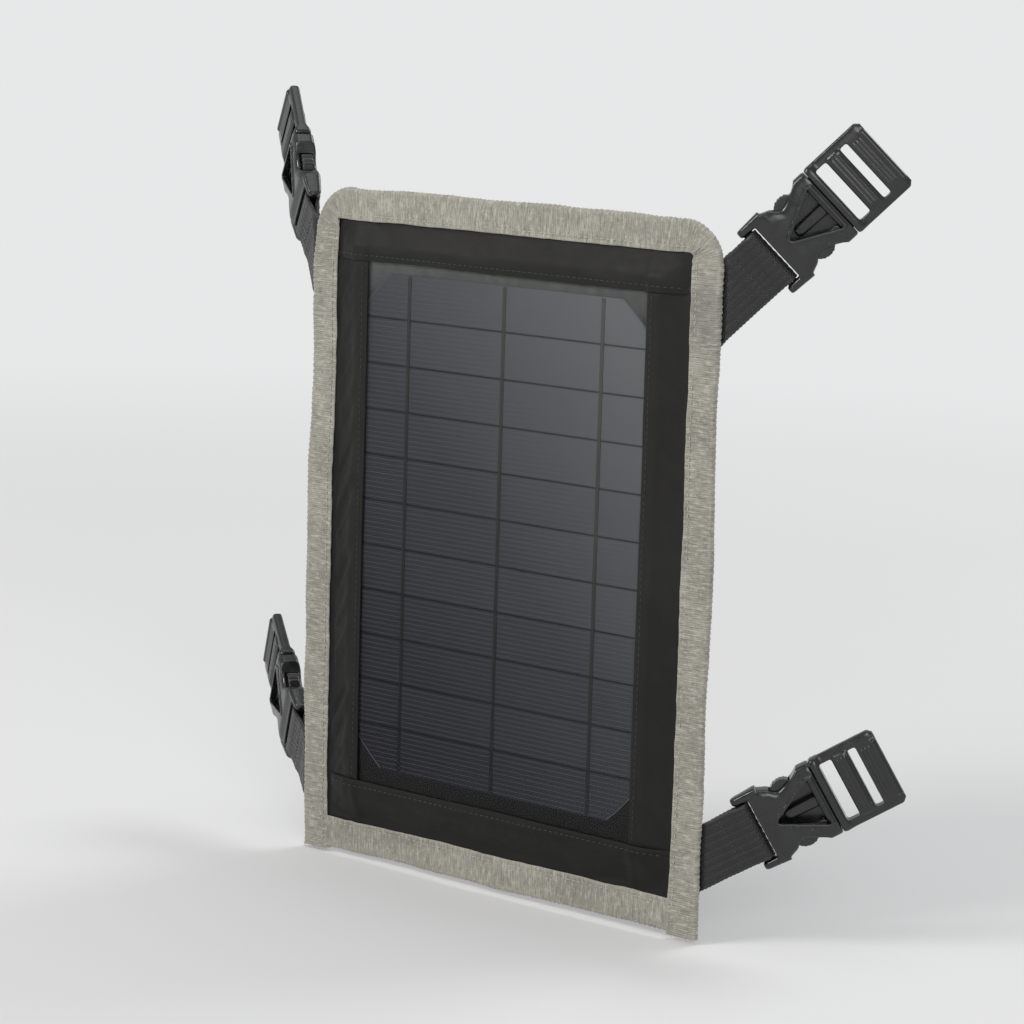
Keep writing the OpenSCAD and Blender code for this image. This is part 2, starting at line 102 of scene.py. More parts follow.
low, high = box_mm("binding_sides")
HALF_W, HALF_H = high[0], high[2]        # over the tape
TAPE_FRONT, TAPE_BACK = low[1], high[1]
low, high = box_mm("binding_bottom")
TAPE_W = high[2] - low[2]
INNER_X, INNER_Z = HALF_W - TAPE_W, HALF_H - TAPE_W     # inner edge of the tape
low, high = box_mm("border_left")
WIN_Z0, WIN_Z1 = low[2], high[2]         # window, bottom and top
BORDER_FRONT = low[1]
WIN_X = box_mm("border_right")[0][0]
low, high = box_mm("front_film")
FILM_FRONT = low[1]
FILM_X, FILM_Z0, FILM_Z1 = high[0], low[2], high[2]
low, high = box_mm("back_cover")
COVER_BACK = high[1]
EDGE_FRONT = low[1] - 0.8                # level of the cloth where it is bound
low, high = box_mm("cell_strips")
CELL_X, CELL_Z0, CELL_Z1 = high[0], low[2], high[2]
CELL_FRONT = low[1]
low, high = box_mm("reg_box_base")
HOLE_X, HOLE_Z = high[0] + 0.4, high[2] + 0.4           # opening in the back round the box

CORNER_R = 20.0
TAB_HEIGHTS = (118.0, -113.0)
RIBBONS = (-CELL_X * 2 / 3, 0, CELL_X * 2 / 3)          # x of the ribbons
JOINTS = {joint["name"]: joint for joint in frame["joints"]}

# ---------------------------------------------------------------- shape functions


def hash_grid(ix, iy, seed):
    mask = 0xFFFFFFFF
    mixed = ix.astype(np.int64) * 374761393 + iy.astype(np.int64) * 668265263
    mixed = (mixed + int(seed) * 974634777) & mask
    mixed = ((mixed ^ (mixed >> 13)) * 1274126177) & mask
    mixed = ((mixed ^ (mixed >> 16)) * 2246822519) & mask
    mixed = mixed ^ (mixed >> 15)
    return (mixed & 0xFFFFFF) / float(0xFFFFFF) * 2 - 1


def noise(x, y, seed=0):
    """Smooth lattice noise, about -1 to 1."""
    x, y = np.broadcast_arrays(np.asarray(x, float), np.asarray(y, float))
    ix, iy = np.floor(x), np.floor(y)
    fx, fy = x - ix, y - iy
    ix, iy = ix.astype(np.int64), iy.astype(np.int64)
    sx = fx * fx * fx * (fx * (fx * 6 - 15) + 10)
    sy = fy * fy * fy * (fy * (fy * 6 - 15) + 10)
    near = hash_grid(ix, iy, seed) * (1 - sx) + hash_grid(ix + 1, iy, seed) * sx
    far = hash_grid(ix, iy + 1, seed) * (1 - sx) + hash_grid(ix + 1, iy + 1, seed) * sx
    return near * (1 - sy) + far * sy


def ease(start, end, x):
    """Smooth step from 0 at start to 1 at end."""
    t = np.clip((np.asarray(x, float) - start) / (end - start), 0, 1)
    return t * t * (3 - 2 * t)


def bell(x, width):
    return np.exp(-(x / width) ** 2)


def distances(points):
    """Distance along a line of points."""
    return np.r_[0, np.cumsum(np.hypot(*np.diff(points, axis=0).T))]


# ---------------------------------------------------------------- mesh helpers


def rows(*columns):
    """One row per point from grids that broadcast together."""
    return np.stack(np.broadcast_arrays(*columns), -1).reshape(-1, len(columns))


def new_obj(name, verts, faces, material=None, uv=None, smooth=True):
    """verts in mm; uv is one pair per vertex, in mm."""
    mesh = bpy.data.meshes.new(name)
    verts = (np.asarray(verts, float) * 0.001).tolist()
    mesh.from_pydata(verts, [], [tuple(int(i) for i in face) for face in faces])
    if uv is not None:
        layer = mesh.uv_layers.new(name="mm")
        corners = np.zeros(len(mesh.loops), np.int32)
        mesh.loops.foreach_get("vertex_index", corners)
        layer.data.foreach_set("uv", np.asarray(uv, np.float32)[corners].ravel())
    mesh.update()
    obj = bpy.data.objects.new(name, mesh)
    bpy.context.scene.collection.objects.link(obj)
    if smooth:
        mesh.shade_smooth()
    if material:
        mesh.materials.append(material)
    return obj


def grid_faces(n, m, wrap=False, first=0):
    """Quads of an n by m grid; wrap closes the second direction."""
    i, j = np.meshgrid(np.arange(n - 1), np.arange(m if wrap else m - 1), indexing="ij")
    after = (j + 1) % m
    quads = [i * m + j, (i + 1) * m + j, (i + 1) * m + after, i * m + after]
    return (np.stack(quads, -1).reshape(-1, 4) + first).tolist()


def tube_faces(n, m):
    """Faces of n closed rings of m points, with both ends capped."""
    caps = [list(range(m - 1, -1, -1)), list(range((n - 1) * m, n * m))]
    return grid_faces(n, m, wrap=True) + caps


def apply_mods(obj):
    graph = bpy.context.evaluated_depsgraph_get()
    mesh = bpy.data.meshes.new_from_object(
        obj.evaluated_get(graph), preserve_all_data_layers=True, depsgraph=graph)
    mesh.name = obj.name
    obj.modifiers.clear()
    before = obj.data
    obj.data = mesh
    bpy.data.meshes.remove(before)


def recalc(obj):
    bm = bmesh.new()
    bm.from_mesh(obj.data)
    bmesh.ops.recalc_face_normals(bm, faces=bm.faces)
    bm.to_mesh(obj.data)
    bm.free()
    obj.data.update()


def coords(obj):
    flat = np.zeros(len(obj.data.vertices) * 3)
    obj.data.vertices.foreach_get("co", flat)
    return flat.reshape(-1, 3) * 1000


def set_coords(obj, points):
    flat = (np.asarray(points) * 0.001).astype(np.float32).ravel()
    obj.data.vertices.foreach_set("co", flat)
    obj.data.update()


# ---------------------------------------------------------------- material helper

SOCKETS = {
    "color": "Base Color", "rough": "Roughness", "metal": "Metallic", "normal": "Normal",
    "spec": "Specular IOR Level", "sheen": "Sheen Weight", "sheen_rough": "Sheen Roughness",
    "sheen_tint": "Sheen Tint", "coat": "Coat Weight",
}


def scaled(colour, factor):
    return tuple(v * factor for v in colour)


class Mat:
    """A node material being built. Coordinates and lengths are in mm."""

    def __init__(self, name):
        self.material = bpy.data.materials.new(name)
        self.material.use_nodes = True
        self.tree = self.material.node_tree
        self.tree.nodes.clear()
        place = self.node("TexCoord").outputs["Object"]
        scale = self.node("VectorMath", {0: place, "Scale": 1000}, operation="SCALE")
        self.pos = scale.outputs[0]

    def node(self, kind, inputs=None, **settings):
        node = self.tree.nodes.new("ShaderNode" + kind)
        for key, value in settings.items():
            setattr(node, key, value)
        for key, value in (inputs or {}).items():
            socket = node.inputs[key]
            if isinstance(value, bpy.types.NodeSocket):
                self.tree.links.new(value, socket)
            elif isinstance(value, tuple) and socket.type == "RGBA":
                socket.default_value = (*value, 1)
            else:
                socket.default_value = value
        return node

    def uv(self):
        return self.node("UVMap", uv_map="mm").outputs[0]

    def xyz(self, vector):
        return tuple(self.node("SeparateXYZ", {0: vector}).outputs)

    def math(self, operation, *values):
        return self.node("Math", dict(enumerate(values)), operation=operation).outputs[0]

    def add(self, a, b):
        return self.math("ADD", a, b)

    def sub(self, a, b):
        return self.math("SUBTRACT", a, b)

    def mul(self, a, b):
        return self.math("MULTIPLY", a, b)

    def noise(self, scale, detail=3, rough=0.55, stretch=None, at=None):
        vector = at or self.pos
        if stretch:
            vector = self.node("VectorMath", {0: vector, 1: stretch},
                               operation="MULTIPLY").outputs[0]
        inputs = {"Vector": vector, "Scale": scale, "Detail": detail, "Roughness": rough}
        return self.node("TexNoise", inputs).outputs[0]

    def ramp(self, value, stops):
        node = self.node("ValToRGB", {0: value})
        elements = node.color_ramp.elements
        while len(elements) < len(stops):
            elements.new(0.5)
        for element, (place, colour) in zip(elements, stops):
            element.position = place
            element.color = (*colour, 1)
        return node.outputs[0]

    def remap(self, value, span, to=(0, 1), smooth=False):
        """Maps the span of the value onto `to`, clamped."""
        kind = "SMOOTHSTEP" if smooth else "LINEAR"
        inputs = dict(enumerate((value, *span, *to)))
        return self.node("MapRange", inputs, interpolation_type=kind).outputs[0]

    def mix(self, factor, first, second):
        node = self.node("Mix", {0: factor, 6: first, 7: second}, data_type="RGBA")
        return node.outputs[2]

    def mottle(self, first, second, span, to=(0, 1), **pattern):
        """Mixes two colours by a noise pattern."""
        return self.mix(self.remap(self.noise(**pattern), span, to), first, second)

    def wear(self, colour, worn, span, to):
        """Shows the worn colour where the mesh is pointed."""
        point = self.node("NewGeometry").outputs["Pointiness"]
        return self.mix(self.remap(point, span, to), colour, worn)

    def wave(self, value, period, phase=None):
        """0 to 1 sine wave."""
        angle = self.mul(value, 2 * PI / period)
        if phase is not None:
            angle = self.add(angle, phase)
        return self.math("MULTIPLY_ADD", self.math("SINE", angle), 0.5, 0.5)

    def humps(self, value, pitch):
        return self.math("ABSOLUTE", self.math("SINE", self.mul(value, PI / pitch)))

    def weave(self, a, b, pitch):
        """Plain weave height over two coordinates."""
        lead = self.sub(self.wave(a, pitch * 2), self.wave(b, pitch * 2))
        over = self.math("ABSOLUTE", lead)
        cell = self.mul(self.humps(a, pitch), self.humps(b, pitch))
        return self.add(self.mul(over, 0.45), self.mul(cell, 0.55))

    def bump(self, height, strength, depth, normal=None):
        inputs = {"Strength": strength, "Distance": depth * 0.001, "Height": height}
        if normal is not None:
            inputs["Normal"] = normal
        return self.node("Bump", inputs).outputs[0]

    def edges(self, radius):
        """1 on edges, from how the normals turn within the radius."""
        rounded_normal = self.node("Bevel", {"Radius": radius * 0.001}, samples=6).outputs[0]
        normal = self.node("NewGeometry").outputs["Normal"]
        facing = self.node("VectorMath", {0: rounded_normal, 1: normal},
                           operation="DOT_PRODUCT")
        return self.remap(facing.outputs["Value"], (0.90, 0.995), to=(1.0, 0.0))

    def principled(self, **looks):
        inputs = {SOCKETS[key]: value for key, value in looks.items()}
        return self.node("BsdfPrincipled", inputs).outputs[0]

    def mix_shader(self, factor, first, second):
        return self.node("MixShader", {0: factor, 1: first, 2: second}).outputs[0]

    def surface(self, shader):
        self.node("OutputMaterial", {0: shader})
        return self.material

    def finish(self, **looks):
        return self.surface(self.principled(**looks))


# ---------------------------------------------------------------- materials


def make_cloth():
    mat = Mat("black_pack_cloth")
    dark, light = (0.0080, 0.0077, 0.0068), (0.0152, 0.0147, 0.0130)
    x, y, z = mat.xyz(mat.pos)
    threads = mat.weave(x, z, pitch=0.42)
    broad = mat.noise(scale=0.035, detail=4, rough=0.6)
    streaks = mat.noise(scale=0.9, rough=0.6, stretch=(0.25, 1, 0.25))
    tone = mat.add(mat.mul(broad, 0.6), mat.mul(streaks, 0.4))
    colour = mat.mix(mat.remap(tone, (0.35, 0.65)), dark, light)
    colour = mat.mix(mat.mul(threads, 0.35), colour, scaled(dark, 0.55))
    colour = mat.wear(colour, scaled(light, 2.2), (0.51, 0.62), to=(0, 0.45))
    # pale specks
    colour = mat.mottle(colour, scaled(light, 3), (0.72, 0.8), to=(0, 0.25),
                        scale=1.7, detail=1, rough=0.4)
    # painted shade: darker in the folds between the gathers of the left border; the cloth is also
    # darker towards the bottom
    gathers = mat.noise(scale=1.0, rough=0.6, stretch=(0.30, 0.05, 0.085))
    left = mat.mul(mat.remap(x, (-79.5, -88.0), smooth=True),
                   mat.math("LESS_THAN", y, -11.4))
    shade = mat.mul(left, mat.remap(gathers, (0.30, 0.66), to=(0.85, 0.25)))
    shade = mat.add(shade, mat.remap(z, (20.0, -120.0), to=(0.0, 0.45)))
    colour = mat.mix(mat.math("MINIMUM", shade, 0.9), colour, scaled(dark, 0.32))
    normal = mat.bump(threads, strength=0.5, depth=0.10)
    fine = mat.noise(scale=3.1, detail=2, rough=0.6)
    normal = mat.bump(fine, strength=0.25, depth=0.05, normal=normal)
    soft = mat.noise(scale=0.12, rough=0.6)
    normal = mat.bump(soft, strength=0.35, depth=0.7, normal=normal)
    return mat.finish(color=colour, rough=mat.remap(streaks, (0.3, 0.7), to=(0.46, 0.62)),
                      spec=0.23, normal=normal, sheen=0.04, sheen_rough=0.45,
                      sheen_tint=(0.75, 0.78, 0.8))


def make_tape():
    mat = Mat("grey_grosgrain")
    uv = mat.uv()
    along, across, _ = mat.xyz(uv)
    rib_phase = mat.mul(mat.noise(scale=0.22, detail=2), 2.2)
    ribs = mat.wave(along, period=0.92, phase=rib_phase)
    yarn_phase = mat.mul(mat.noise(scale=0.8, detail=2), 3.0)
    yarns = mat.wave(across, period=0.62, phase=yarn_phase)
    height = mat.add(mat.mul(ribs, 0.75), mat.mul(yarns, 0.25))
    colour = mat.mottle((0.262, 0.248, 0.203), (0.392, 0.374, 0.312), (0.36, 0.66),
                        scale=0.045, rough=0.6)
    colour = mat.mottle(colour, (0.185, 0.176, 0.158), (0.42, 0.72), to=(0, 0.45),
                        scale=0.35, detail=4, rough=0.7)
    specks = mat.noise(scale=2.2, rough=0.75)
    light = (0.50, 0.485, 0.435)
    colour = mat.mix(mat.remap(specks, (0.38, 0.72), to=(0.0, 0.36)), colour, light)
    # painted shade: darker in the valleys between the ribs
    valley_shade = mat.mul(mat.sub(1.0, ribs), 0.46)
    colour = mat.mix(valley_shade, colour, (0.145, 0.138, 0.122))
    # pale and dark yarns that run across the tape in short lengths, then flecks
    short_yarns = mat.noise(scale=1.0, detail=2, rough=0.6, stretch=(0.95, 0.16, 1), at=uv)
    flecks = mat.noise(scale=1.0, rough=0.7, stretch=(0.55, 0.75, 1), at=uv)
    for pattern, span, most, tint in (
            (short_yarns, (0.54, 0.68), 0.52, (0.57, 0.55, 0.475)),
            (short_yarns, (0.46, 0.32), 0.56, (0.138, 0.130, 0.108)),
            (flecks, (0.57, 0.70), 0.55, (0.56, 0.54, 0.47)),
            (flecks, (0.42, 0.30), 0.52, (0.145, 0.136, 0.113))):
        colour = mat.mix(mat.remap(pattern, span, to=(0.0, most)), colour, tint)
    # smudges
    colour = mat.mottle(colour, (0.20, 0.195, 0.185), (0.60, 0.74), to=(0, 0.5),
                        scale=0.075, detail=4, rough=0.72, stretch=(1, 1, 0.5))
    colour = mat.wear(colour, light, (0.51, 0.60), to=(0, 0.5))
    # dark ragged patch at the upper right: centre and radii in x and z
    x, _, z = mat.xyz(mat.pos)
    away_x = mat.math("DIVIDE", mat.sub(x, 103.0), 9.0)
    away_z = mat.math("DIVIDE", mat.sub(z, 112.0), 17.0)
    away = mat.add(mat.mul(away_x, away_x), mat.mul(away_z, away_z))
    ragged = mat.sub(mat.noise(scale=0.16, detail=4, rough=0.7), 0.5)
    away = mat.add(away, mat.mul(ragged, 2.2))
    patch = mat.remap(away, (0.15, 1.1), to=(0.42, 0.0), smooth=True)
    colour = mat.mix(patch, colour, (0.135, 0.133, 0.133))
    normal = mat.bump(height, strength=0.85, depth=0.20)
    normal = mat.bump(specks, strength=0.4, depth=0.12, normal=normal)
    return mat.finish(color=colour, rough=0.86, spec=0.22, normal=normal, sheen=0.35,
                      sheen_rough=0.5, sheen_tint=(0.9, 0.88, 0.82))


def make_webbing():
    mat = Mat("black_webbing")
    along, across, _ = mat.xyz(mat.uv())
    cord_pitch = 1.55
    cords = mat.humps(across, cord_pitch)
    zigzag = mat.mul(mat.math("PINGPONG", across, cord_pitch), 0.9)
    ribs = mat.wave(mat.add(along, zigzag), period=1.15)
    height = mat.add(mat.mul(ribs, 0.6), mat.mul(cords, 0.4))
    tone = mat.noise(scale=0.3, rough=0.6)
    colour = mat.mix(mat.remap(tone, (0.35, 0.7)),
                     (0.016, 0.016, 0.017), (0.032, 0.032, 0.034))
    # painted shade: darker in the low parts of the weave
    colour = mat.mix(mat.mul(height, 0.5), (0.007, 0.007, 0.008), colour)
    colour = mat.wear(colour, (0.085, 0.085, 0.088), (0.52, 0.62), to=(0, 0.6))
    normal = mat.bump(height, strength=0.9, depth=0.22)
    fine = mat.noise(scale=3.0, detail=2)
    normal = mat.bump(fine, strength=0.2, depth=0.05, normal=normal)
    return mat.finish(color=colour, rough=mat.remap(tone, (0.3, 0.7), to=(0.42, 0.58)),
                      spec=0.45, normal=normal, sheen=0.18, sheen_rough=0.4)


def make_acetal():
    mat = Mat("black_acetal")
    base = (0.0060, 0.0063, 0.0070)
    tone = mat.noise(scale=0.25, detail=4, rough=0.6)
    colour = mat.mix(mat.remap(tone, (0.35, 0.7), to=(0, 0.6)), base, scaled(base, 2.1))
    colour = mat.wear(colour, (0.07, 0.073, 0.077), (0.52, 0.66), to=(0, 0.8))
    scratches = mat.noise(scale=1.1, detail=4, rough=0.7, stretch=(0.25, 2.2, 1.2))
    rough = mat.add(mat.remap(tone, (0.3, 0.7), to=(0.17, 0.29)),
                    mat.remap(scratches, (0.58, 0.72), to=(0, 0.16)))
    normal = mat.bump(mat.noise(scale=2.6, rough=0.6), strength=0.08, depth=0.03)
    return mat.finish(color=colour, rough=rough, spec=0.62, normal=normal)


def make_abs():
    mat = Mat("black_abs")
    grain = mat.node("TexVoronoi", {"Vector": mat.pos, "Scale": 3.4}).outputs["Distance"]
    tone = mat.noise(scale=0.16, detail=4, rough=0.6)
    patchy = mat.remap(mat.noise(scale=0.5, detail=4, rough=0.7), (0.35, 0.65),
                       to=(0.15, 0.8))
    edge = mat.mul(mat.edges(radius=0.5), patchy)
    colour = mat.mix(mat.remap(tone, (0.35, 0.7)), (0.018, 0.018, 0.02), (0.03, 0.03, 0.032))
    colour = mat.mix(edge, colour, (0.10, 0.10, 0.105))
    normal = mat.bump(grain, strength=0.42, depth=0.10)
    normal = mat.bump(mat.noise(scale=1.3), strength=0.2, depth=0.08, normal=normal)
    return mat.finish(color=colour, rough=mat.remap(tone, (0.3, 0.7), to=(0.46, 0.62)),
                      spec=0.42, normal=normal)


def make_rubber():
    mat = Mat("black_rubber")
    tone = mat.noise(scale=0.5, detail=4, rough=0.6)
    colour = mat.mix(mat.remap(tone, (0.35, 0.7)),
                     (0.014, 0.014, 0.014), (0.035, 0.034, 0.033))
    colour = mat.mix(mat.mul(mat.edges(radius=0.3), 0.4), colour, (0.09, 0.09, 0.088))
    normal = mat.bump(mat.noise(scale=4.0, rough=0.6), strength=0.3, depth=0.05)
    return mat.finish(color=colour, rough=mat.remap(tone, (0.3, 0.7), to=(0.66, 0.82)),
                      spec=0.35, normal=normal)


def make_metal(name, first, second, rough, brush):
    """Brushed metal; brush stretches the grain in x, y and z."""
    mat = Mat(name)
    grain = mat.noise(scale=1.6, rough=0.7, stretch=brush)
    tone = mat.noise(scale=0.6, rough=0.6)
    return mat.finish(
        color=mat.mix(mat.remap(grain, (0.3, 0.7)), first, second), metal=1.0,
        rough=mat.remap(tone, (0.3, 0.7), to=(rough * 0.8, rough * 1.35)),
        normal=mat.bump(grain, strength=0.18, depth=0.03))


def laminate_tone_with_painted_reflection(mat, factor=1.0, tint=(1, 1, 1)):
    """Painted reflection on the laminate: darkest at the lower left, palest at the upper right."""
    x, _, z = mat.xyz(mat.pos)
    rise = mat.remap(z, (CELL_Z0, CELL_Z1))
    run_across = mat.remap(x, (-CELL_X, CELL_X))
    tone = mat.add(mat.mul(rise, 0.58), mat.mul(run_across, 0.42))
    stops = [(0.0, (0.0150, 0.0135, 0.0170)), (0.25, (0.0272, 0.0262, 0.0300)),
             (0.5, (0.0465, 0.0465, 0.0490)), (0.75, (0.1000, 0.1000, 0.1005)),
             (1.0, (0.1620, 0.1620, 0.1570))]
    return mat.ramp(tone, [(place, tuple(v * factor * k for v, k in zip(colour, tint)))
                           for place, colour in stops])


STRIP_COUNT, STRIP_PITCH = 11, 20.0


def make_cell():
    """Dark silicon, each strip a shade different."""
    mat = Mat("cell_silicon")
    _, _, z = mat.xyz(mat.pos)
    # painted reflection: the base colour carries the laminate's gradient from lower left to upper
    # right
    colour = laminate_tone_with_painted_reflection(mat)
    dark = laminate_tone_with_painted_reflection(mat, factor=0.72, tint=(0.98, 1.0, 1.06))
    colour = mat.mottle(colour, dark, (0.35, 0.7), to=(0, 0.22), scale=0.03, rough=0.6)
    strip = mat.math("FLOOR", mat.math("DIVIDE", mat.sub(z, CELL_Z0), STRIP_PITCH))
    shade = mat.node("TexWhiteNoise", {"W": strip}, noise_dimensions="1D").outputs[0]
    colour = mat.mix(mat.mul(shade, 0.38), colour, dark)
    colour = mat.mottle(colour, dark, (0.3, 0.7), to=(0.0, 0.10),
                        scale=2.6, detail=2, rough=0.7)
    return mat.finish(color=colour, rough=0.5, spec=0.10)


def make_ribbon():
    mat = Mat("tinned_ribbon")
    # painted reflection: the ribbons carry the laminate's gradient from lower left to upper right
    colour = mat.mottle(laminate_tone_with_painted_reflection(mat, factor=0.50, tint=(1.0, 1.03, 0.86)),
                        laminate_tone_with_painted_reflection(mat, factor=0.75, tint=(1.0, 1.02, 0.9)),
                        (0.35, 0.7), to=(0, 0.3), scale=0.7, rough=0.6)
    return mat.finish(color=colour, rough=0.5, spec=0.12,
                      normal=mat.bump(mat.noise(scale=2.0), strength=0.15, depth=0.05))


def make_board():
    mat = Mat("laminate_board")
    x, _, z = mat.xyz(mat.pos)
    # painted light: paler towards the top, most of all in the lit margin above the cells
    colour = mat.ramp(mat.remap(z, (FILM_Z0, FILM_Z1)), [
        (0.0, (0.0125, 0.0100, 0.0090)), (0.06, (0.0110, 0.0095, 0.0090)),
        (0.5, (0.0150, 0.0155, 0.0140)), (0.90, (0.050, 0.050, 0.047)),
        (1.0, (0.128, 0.127, 0.115))])
    normal = mat.bump(mat.weave(x, z, pitch=0.6), strength=0.2, depth=0.05)
    colour = mat.mottle(colour, (0.012, 0.012, 0.012), (0.35, 0.7), to=(0, 0.3), scale=0.2)
    # between the cells the board takes their tone and its painted reflection
    in_x = mat.math("LESS_THAN", mat.math("ABSOLUTE", x), CELL_X - 1.0)
    in_z = mat.mul(mat.math("GREATER_THAN", z, CELL_Z0 + 12.0),
                   mat.math("LESS_THAN", z, CELL_Z1 - 12.0))
    tone = laminate_tone_with_painted_reflection(mat, factor=0.42, tint=(1.0, 1.0, 0.95))
    colour = mat.mix(mat.mul(in_x, in_z), colour, tone)
    return mat.finish(color=colour, rough=0.55, spec=0.12, normal=normal)


def make_film():
    """Clear film, mostly see-through, with a broad weak sheen whose strength is painted to grow
    towards the upper right.
    """
    mat = Mat("front_film")
    normal = mat.bump(mat.noise(scale=0.02, detail=2, rough=0.5), strength=0.2, depth=1.0)
    see_through = mat.node("BsdfTransparent", {0: (0.93, 0.95, 0.97)}).outputs[0]
    # painted reflection: the glossy reflection is real, but its strength is painted to grow from
    # the lower left to the upper right
    x, _, z = mat.xyz(mat.pos)
    tone = mat.add(mat.mul(mat.remap(z, (FILM_Z0, FILM_Z1)), 0.7),
                   mat.mul(mat.remap(x, (-FILM_X, FILM_X)), 0.3))
    sheen = mat.node("BsdfGlossy", {"Roughness": 0.20, 0: (0.9, 0.94, 1.0),
                                    "Normal": normal}).outputs[0]
    fresnel = mat.node("Fresnel", {"IOR": 1.42, "Normal": normal}).outputs[0]
    smears = mat.remap(mat.noise(scale=0.03, detail=4, rough=0.6), (0.4, 0.75),
                       to=(0.85, 1.25))
    amount = mat.mul(mat.mul(fresnel, mat.remap(tone, (0.0, 1.0), to=(0.10, 0.34))), smears)
    front = mat.mix_shader(amount, see_through, sheen)
    # nothing is reflected off the inside of the slab
    inside = mat.node("NewGeometry").outputs["Backfacing"]
    clear = mat.node("BsdfTransparent", {0: (1, 1, 1)}).outputs[0]
    return mat.surface(mat.mix_shader(inside, front, clear))


def make_plain(name, first, second, rough=0.5, scale=0.6, bump=0.15, **looks):
    mat = Mat(name)
    tone = mat.noise(scale=scale, detail=4, rough=0.6)
    return mat.finish(
        color=mat.mix(mat.remap(tone, (0.35, 0.68)), first, second),
        rough=mat.remap(tone, (0.3, 0.7), to=(rough * 0.85, min(1, rough * 1.2))),
        normal=mat.bump(mat.noise(scale=scale * 6), strength=bump, depth=0.06), **looks)


MAT = {
    "cloth": make_cloth(),
    "tape": make_tape(),
    "web": make_webbing(),
    "acetal": make_acetal(),
    "abs": make_abs(),
    "rubber": make_rubber(),
    "steel": make_metal("screw_steel", (0.50, 0.50, 0.52), (0.68, 0.68, 0.70),
                        rough=0.3, brush=(3, 3, 3)),
    "tin": make_metal("tin_plate", (0.60, 0.60, 0.58), (0.78, 0.78, 0.76),
                      rough=0.26, brush=(5, 0.5, 0.5)),
    "ribbon": make_ribbon(),
    "finger": make_plain("printed_silver", (0.085, 0.086, 0.092), (0.115, 0.116, 0.122),
                         scale=0.8, bump=0.1, spec=0.2),
    "edge": make_plain("cell_edge", (0.032, 0.033, 0.042), (0.060, 0.062, 0.078),
                       rough=0.45, scale=0.12, bump=0.1),
    "cell": make_cell(),
    "board": make_board(),
    "film": make_film(),
    "foam": make_plain("foam", (0.03, 0.03, 0.03), (0.06, 0.06, 0.06),
                       rough=0.9, scale=0.9, bump=0.6),
    "white": make_plain("white_insulator", (0.74, 0.74, 0.70), (0.82, 0.82, 0.79),
                        rough=0.4, bump=0.05),
    "pcb": make_plain("solder_mask", (0.008, 0.07, 0.028), (0.015, 0.11, 0.045),
                      rough=0.35, scale=0.3, bump=0.1),
    "ferrite": make_plain("ferrite", (0.03, 0.03, 0.03), (0.07, 0.07, 0.065),
                          rough=0.7, scale=1.2, bump=0.4),
    "can": make_metal("capacitor_can", (0.55, 0.56, 0.58), (0.7, 0.71, 0.73),
                      rough=0.3, brush=(6, 0.4, 6)),
    "led": make_plain("led_lens", (0.45, 0.02, 0.012), (0.6, 0.04, 0.02),
                      rough=0.2, scale=0.7, bump=0.02, spec=0.6, coat=0.5),
    "copper": make_metal("lead_wire", (0.62, 0.35, 0.2), (0.75, 0.5, 0.35),
                         rough=0.3, brush=(2, 2, 2)),
    "thread_grey": make_plain("grey_thread", (0.33, 0.318, 0.28), (0.46, 0.445, 0.395),
                              rough=0.75, scale=1.5, bump=0.5, sheen=0.3),
    "thread_black": make_plain("black_thread", (0.012, 0.012, 0.012), (0.03, 0.03, 0.03),
                               rough=0.6, scale=1.5, bump=0.5, sheen=0.2),
}

NODE_MAT = {
    "cell_strips": "cell", "tab_ribbons": "ribbon", "laminate_board": "board",
    "foam_pad": "foam", "lid_screws": "steel", "regulator_board": "pcb",
    "usb_socket": "tin", "usb_tongue": "white", "inductor": "ferrite",
    "capacitor": "can", "regulator_chip": "abs", "indicator_led": "led",
    "lead_positive": "copper", "lead_negative": "copper", "reg_box_base": "abs",
    "reg_box_lid": "abs", "port_flap": "rubber",
}
for node_name, key in NODE_MAT.items():
    node_mesh = frame["nodes"][node_name].data
    node_mesh.materials.clear()
    node_mesh.materials.append(MAT[key])

# ---------------------------------------------------------------- the sewn panel's surface


def outside(x, z):
    """Distance outside the laminate; 0 or less over it."""
    dx = np.abs(x) - FILM_X
    dz = np.maximum(z - FILM_Z1, FILM_Z0 - z)
    past_corner = np.hypot(np.maximum(dx, 0), np.maximum(dz, 0))
    return np.where((dx > 0) & (dz > 0), past_corner, np.maximum(dx, dz))


def warp(points):
    """Moves points of the sewn edge a little, least near the tabs."""
    x, y, z = points.T
    amount = ease(2, 24, outside(x, z))
    calm = np.ones_like(x)
    for tab_z in TAB_HEIGHTS:
        calm *= 1 - 0.9 * np.exp(-(((np.abs(x) - HALF_W) / 26) ** 2 + ((z - tab_z) / 26) ** 2))
    dy = amount * calm * (1.5 * noise(x / 70, z / 70, 3) + 0.55 * noise(x / 26, z / 26, 8))
    # the upper left corner curls back
    curl = ease(0.0, 1.0, ((-x - 74) / 34) * ((z - 100) / 46))
    dy += 2.4 * curl * ease(70, 95, -x) * ease(96, 130, z)
    sway = amount * calm * 0.75
    dx = sway * noise(z / 48, np.sign(x) * 3.3, 21) * ease(FILM_X, HALF_W, np.abs(x))
    dz = sway * noise(x / 48, np.sign(z) * 5.1, 22) * ease(FILM_Z1, HALF_H, np.abs(z))
    return np.stack([x + dx, y + dy, z + dz], -1)


def warp_obj(obj):
    set_coords(obj, warp(coords(obj)))


def finish_sheet(obj, thickness, node):
    """Thickens a sheet inwards, warps it and puts it in the place of a CAD node."""
    solid = obj.modifiers.new("s", "SOLIDIFY")
    solid.thickness = thickness * 0.001
    solid.offset = -1.0
    apply_mods(obj)
    warp_obj(obj)
    obj.data.shade_smooth()
    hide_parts(node)
    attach(obj, "panel")


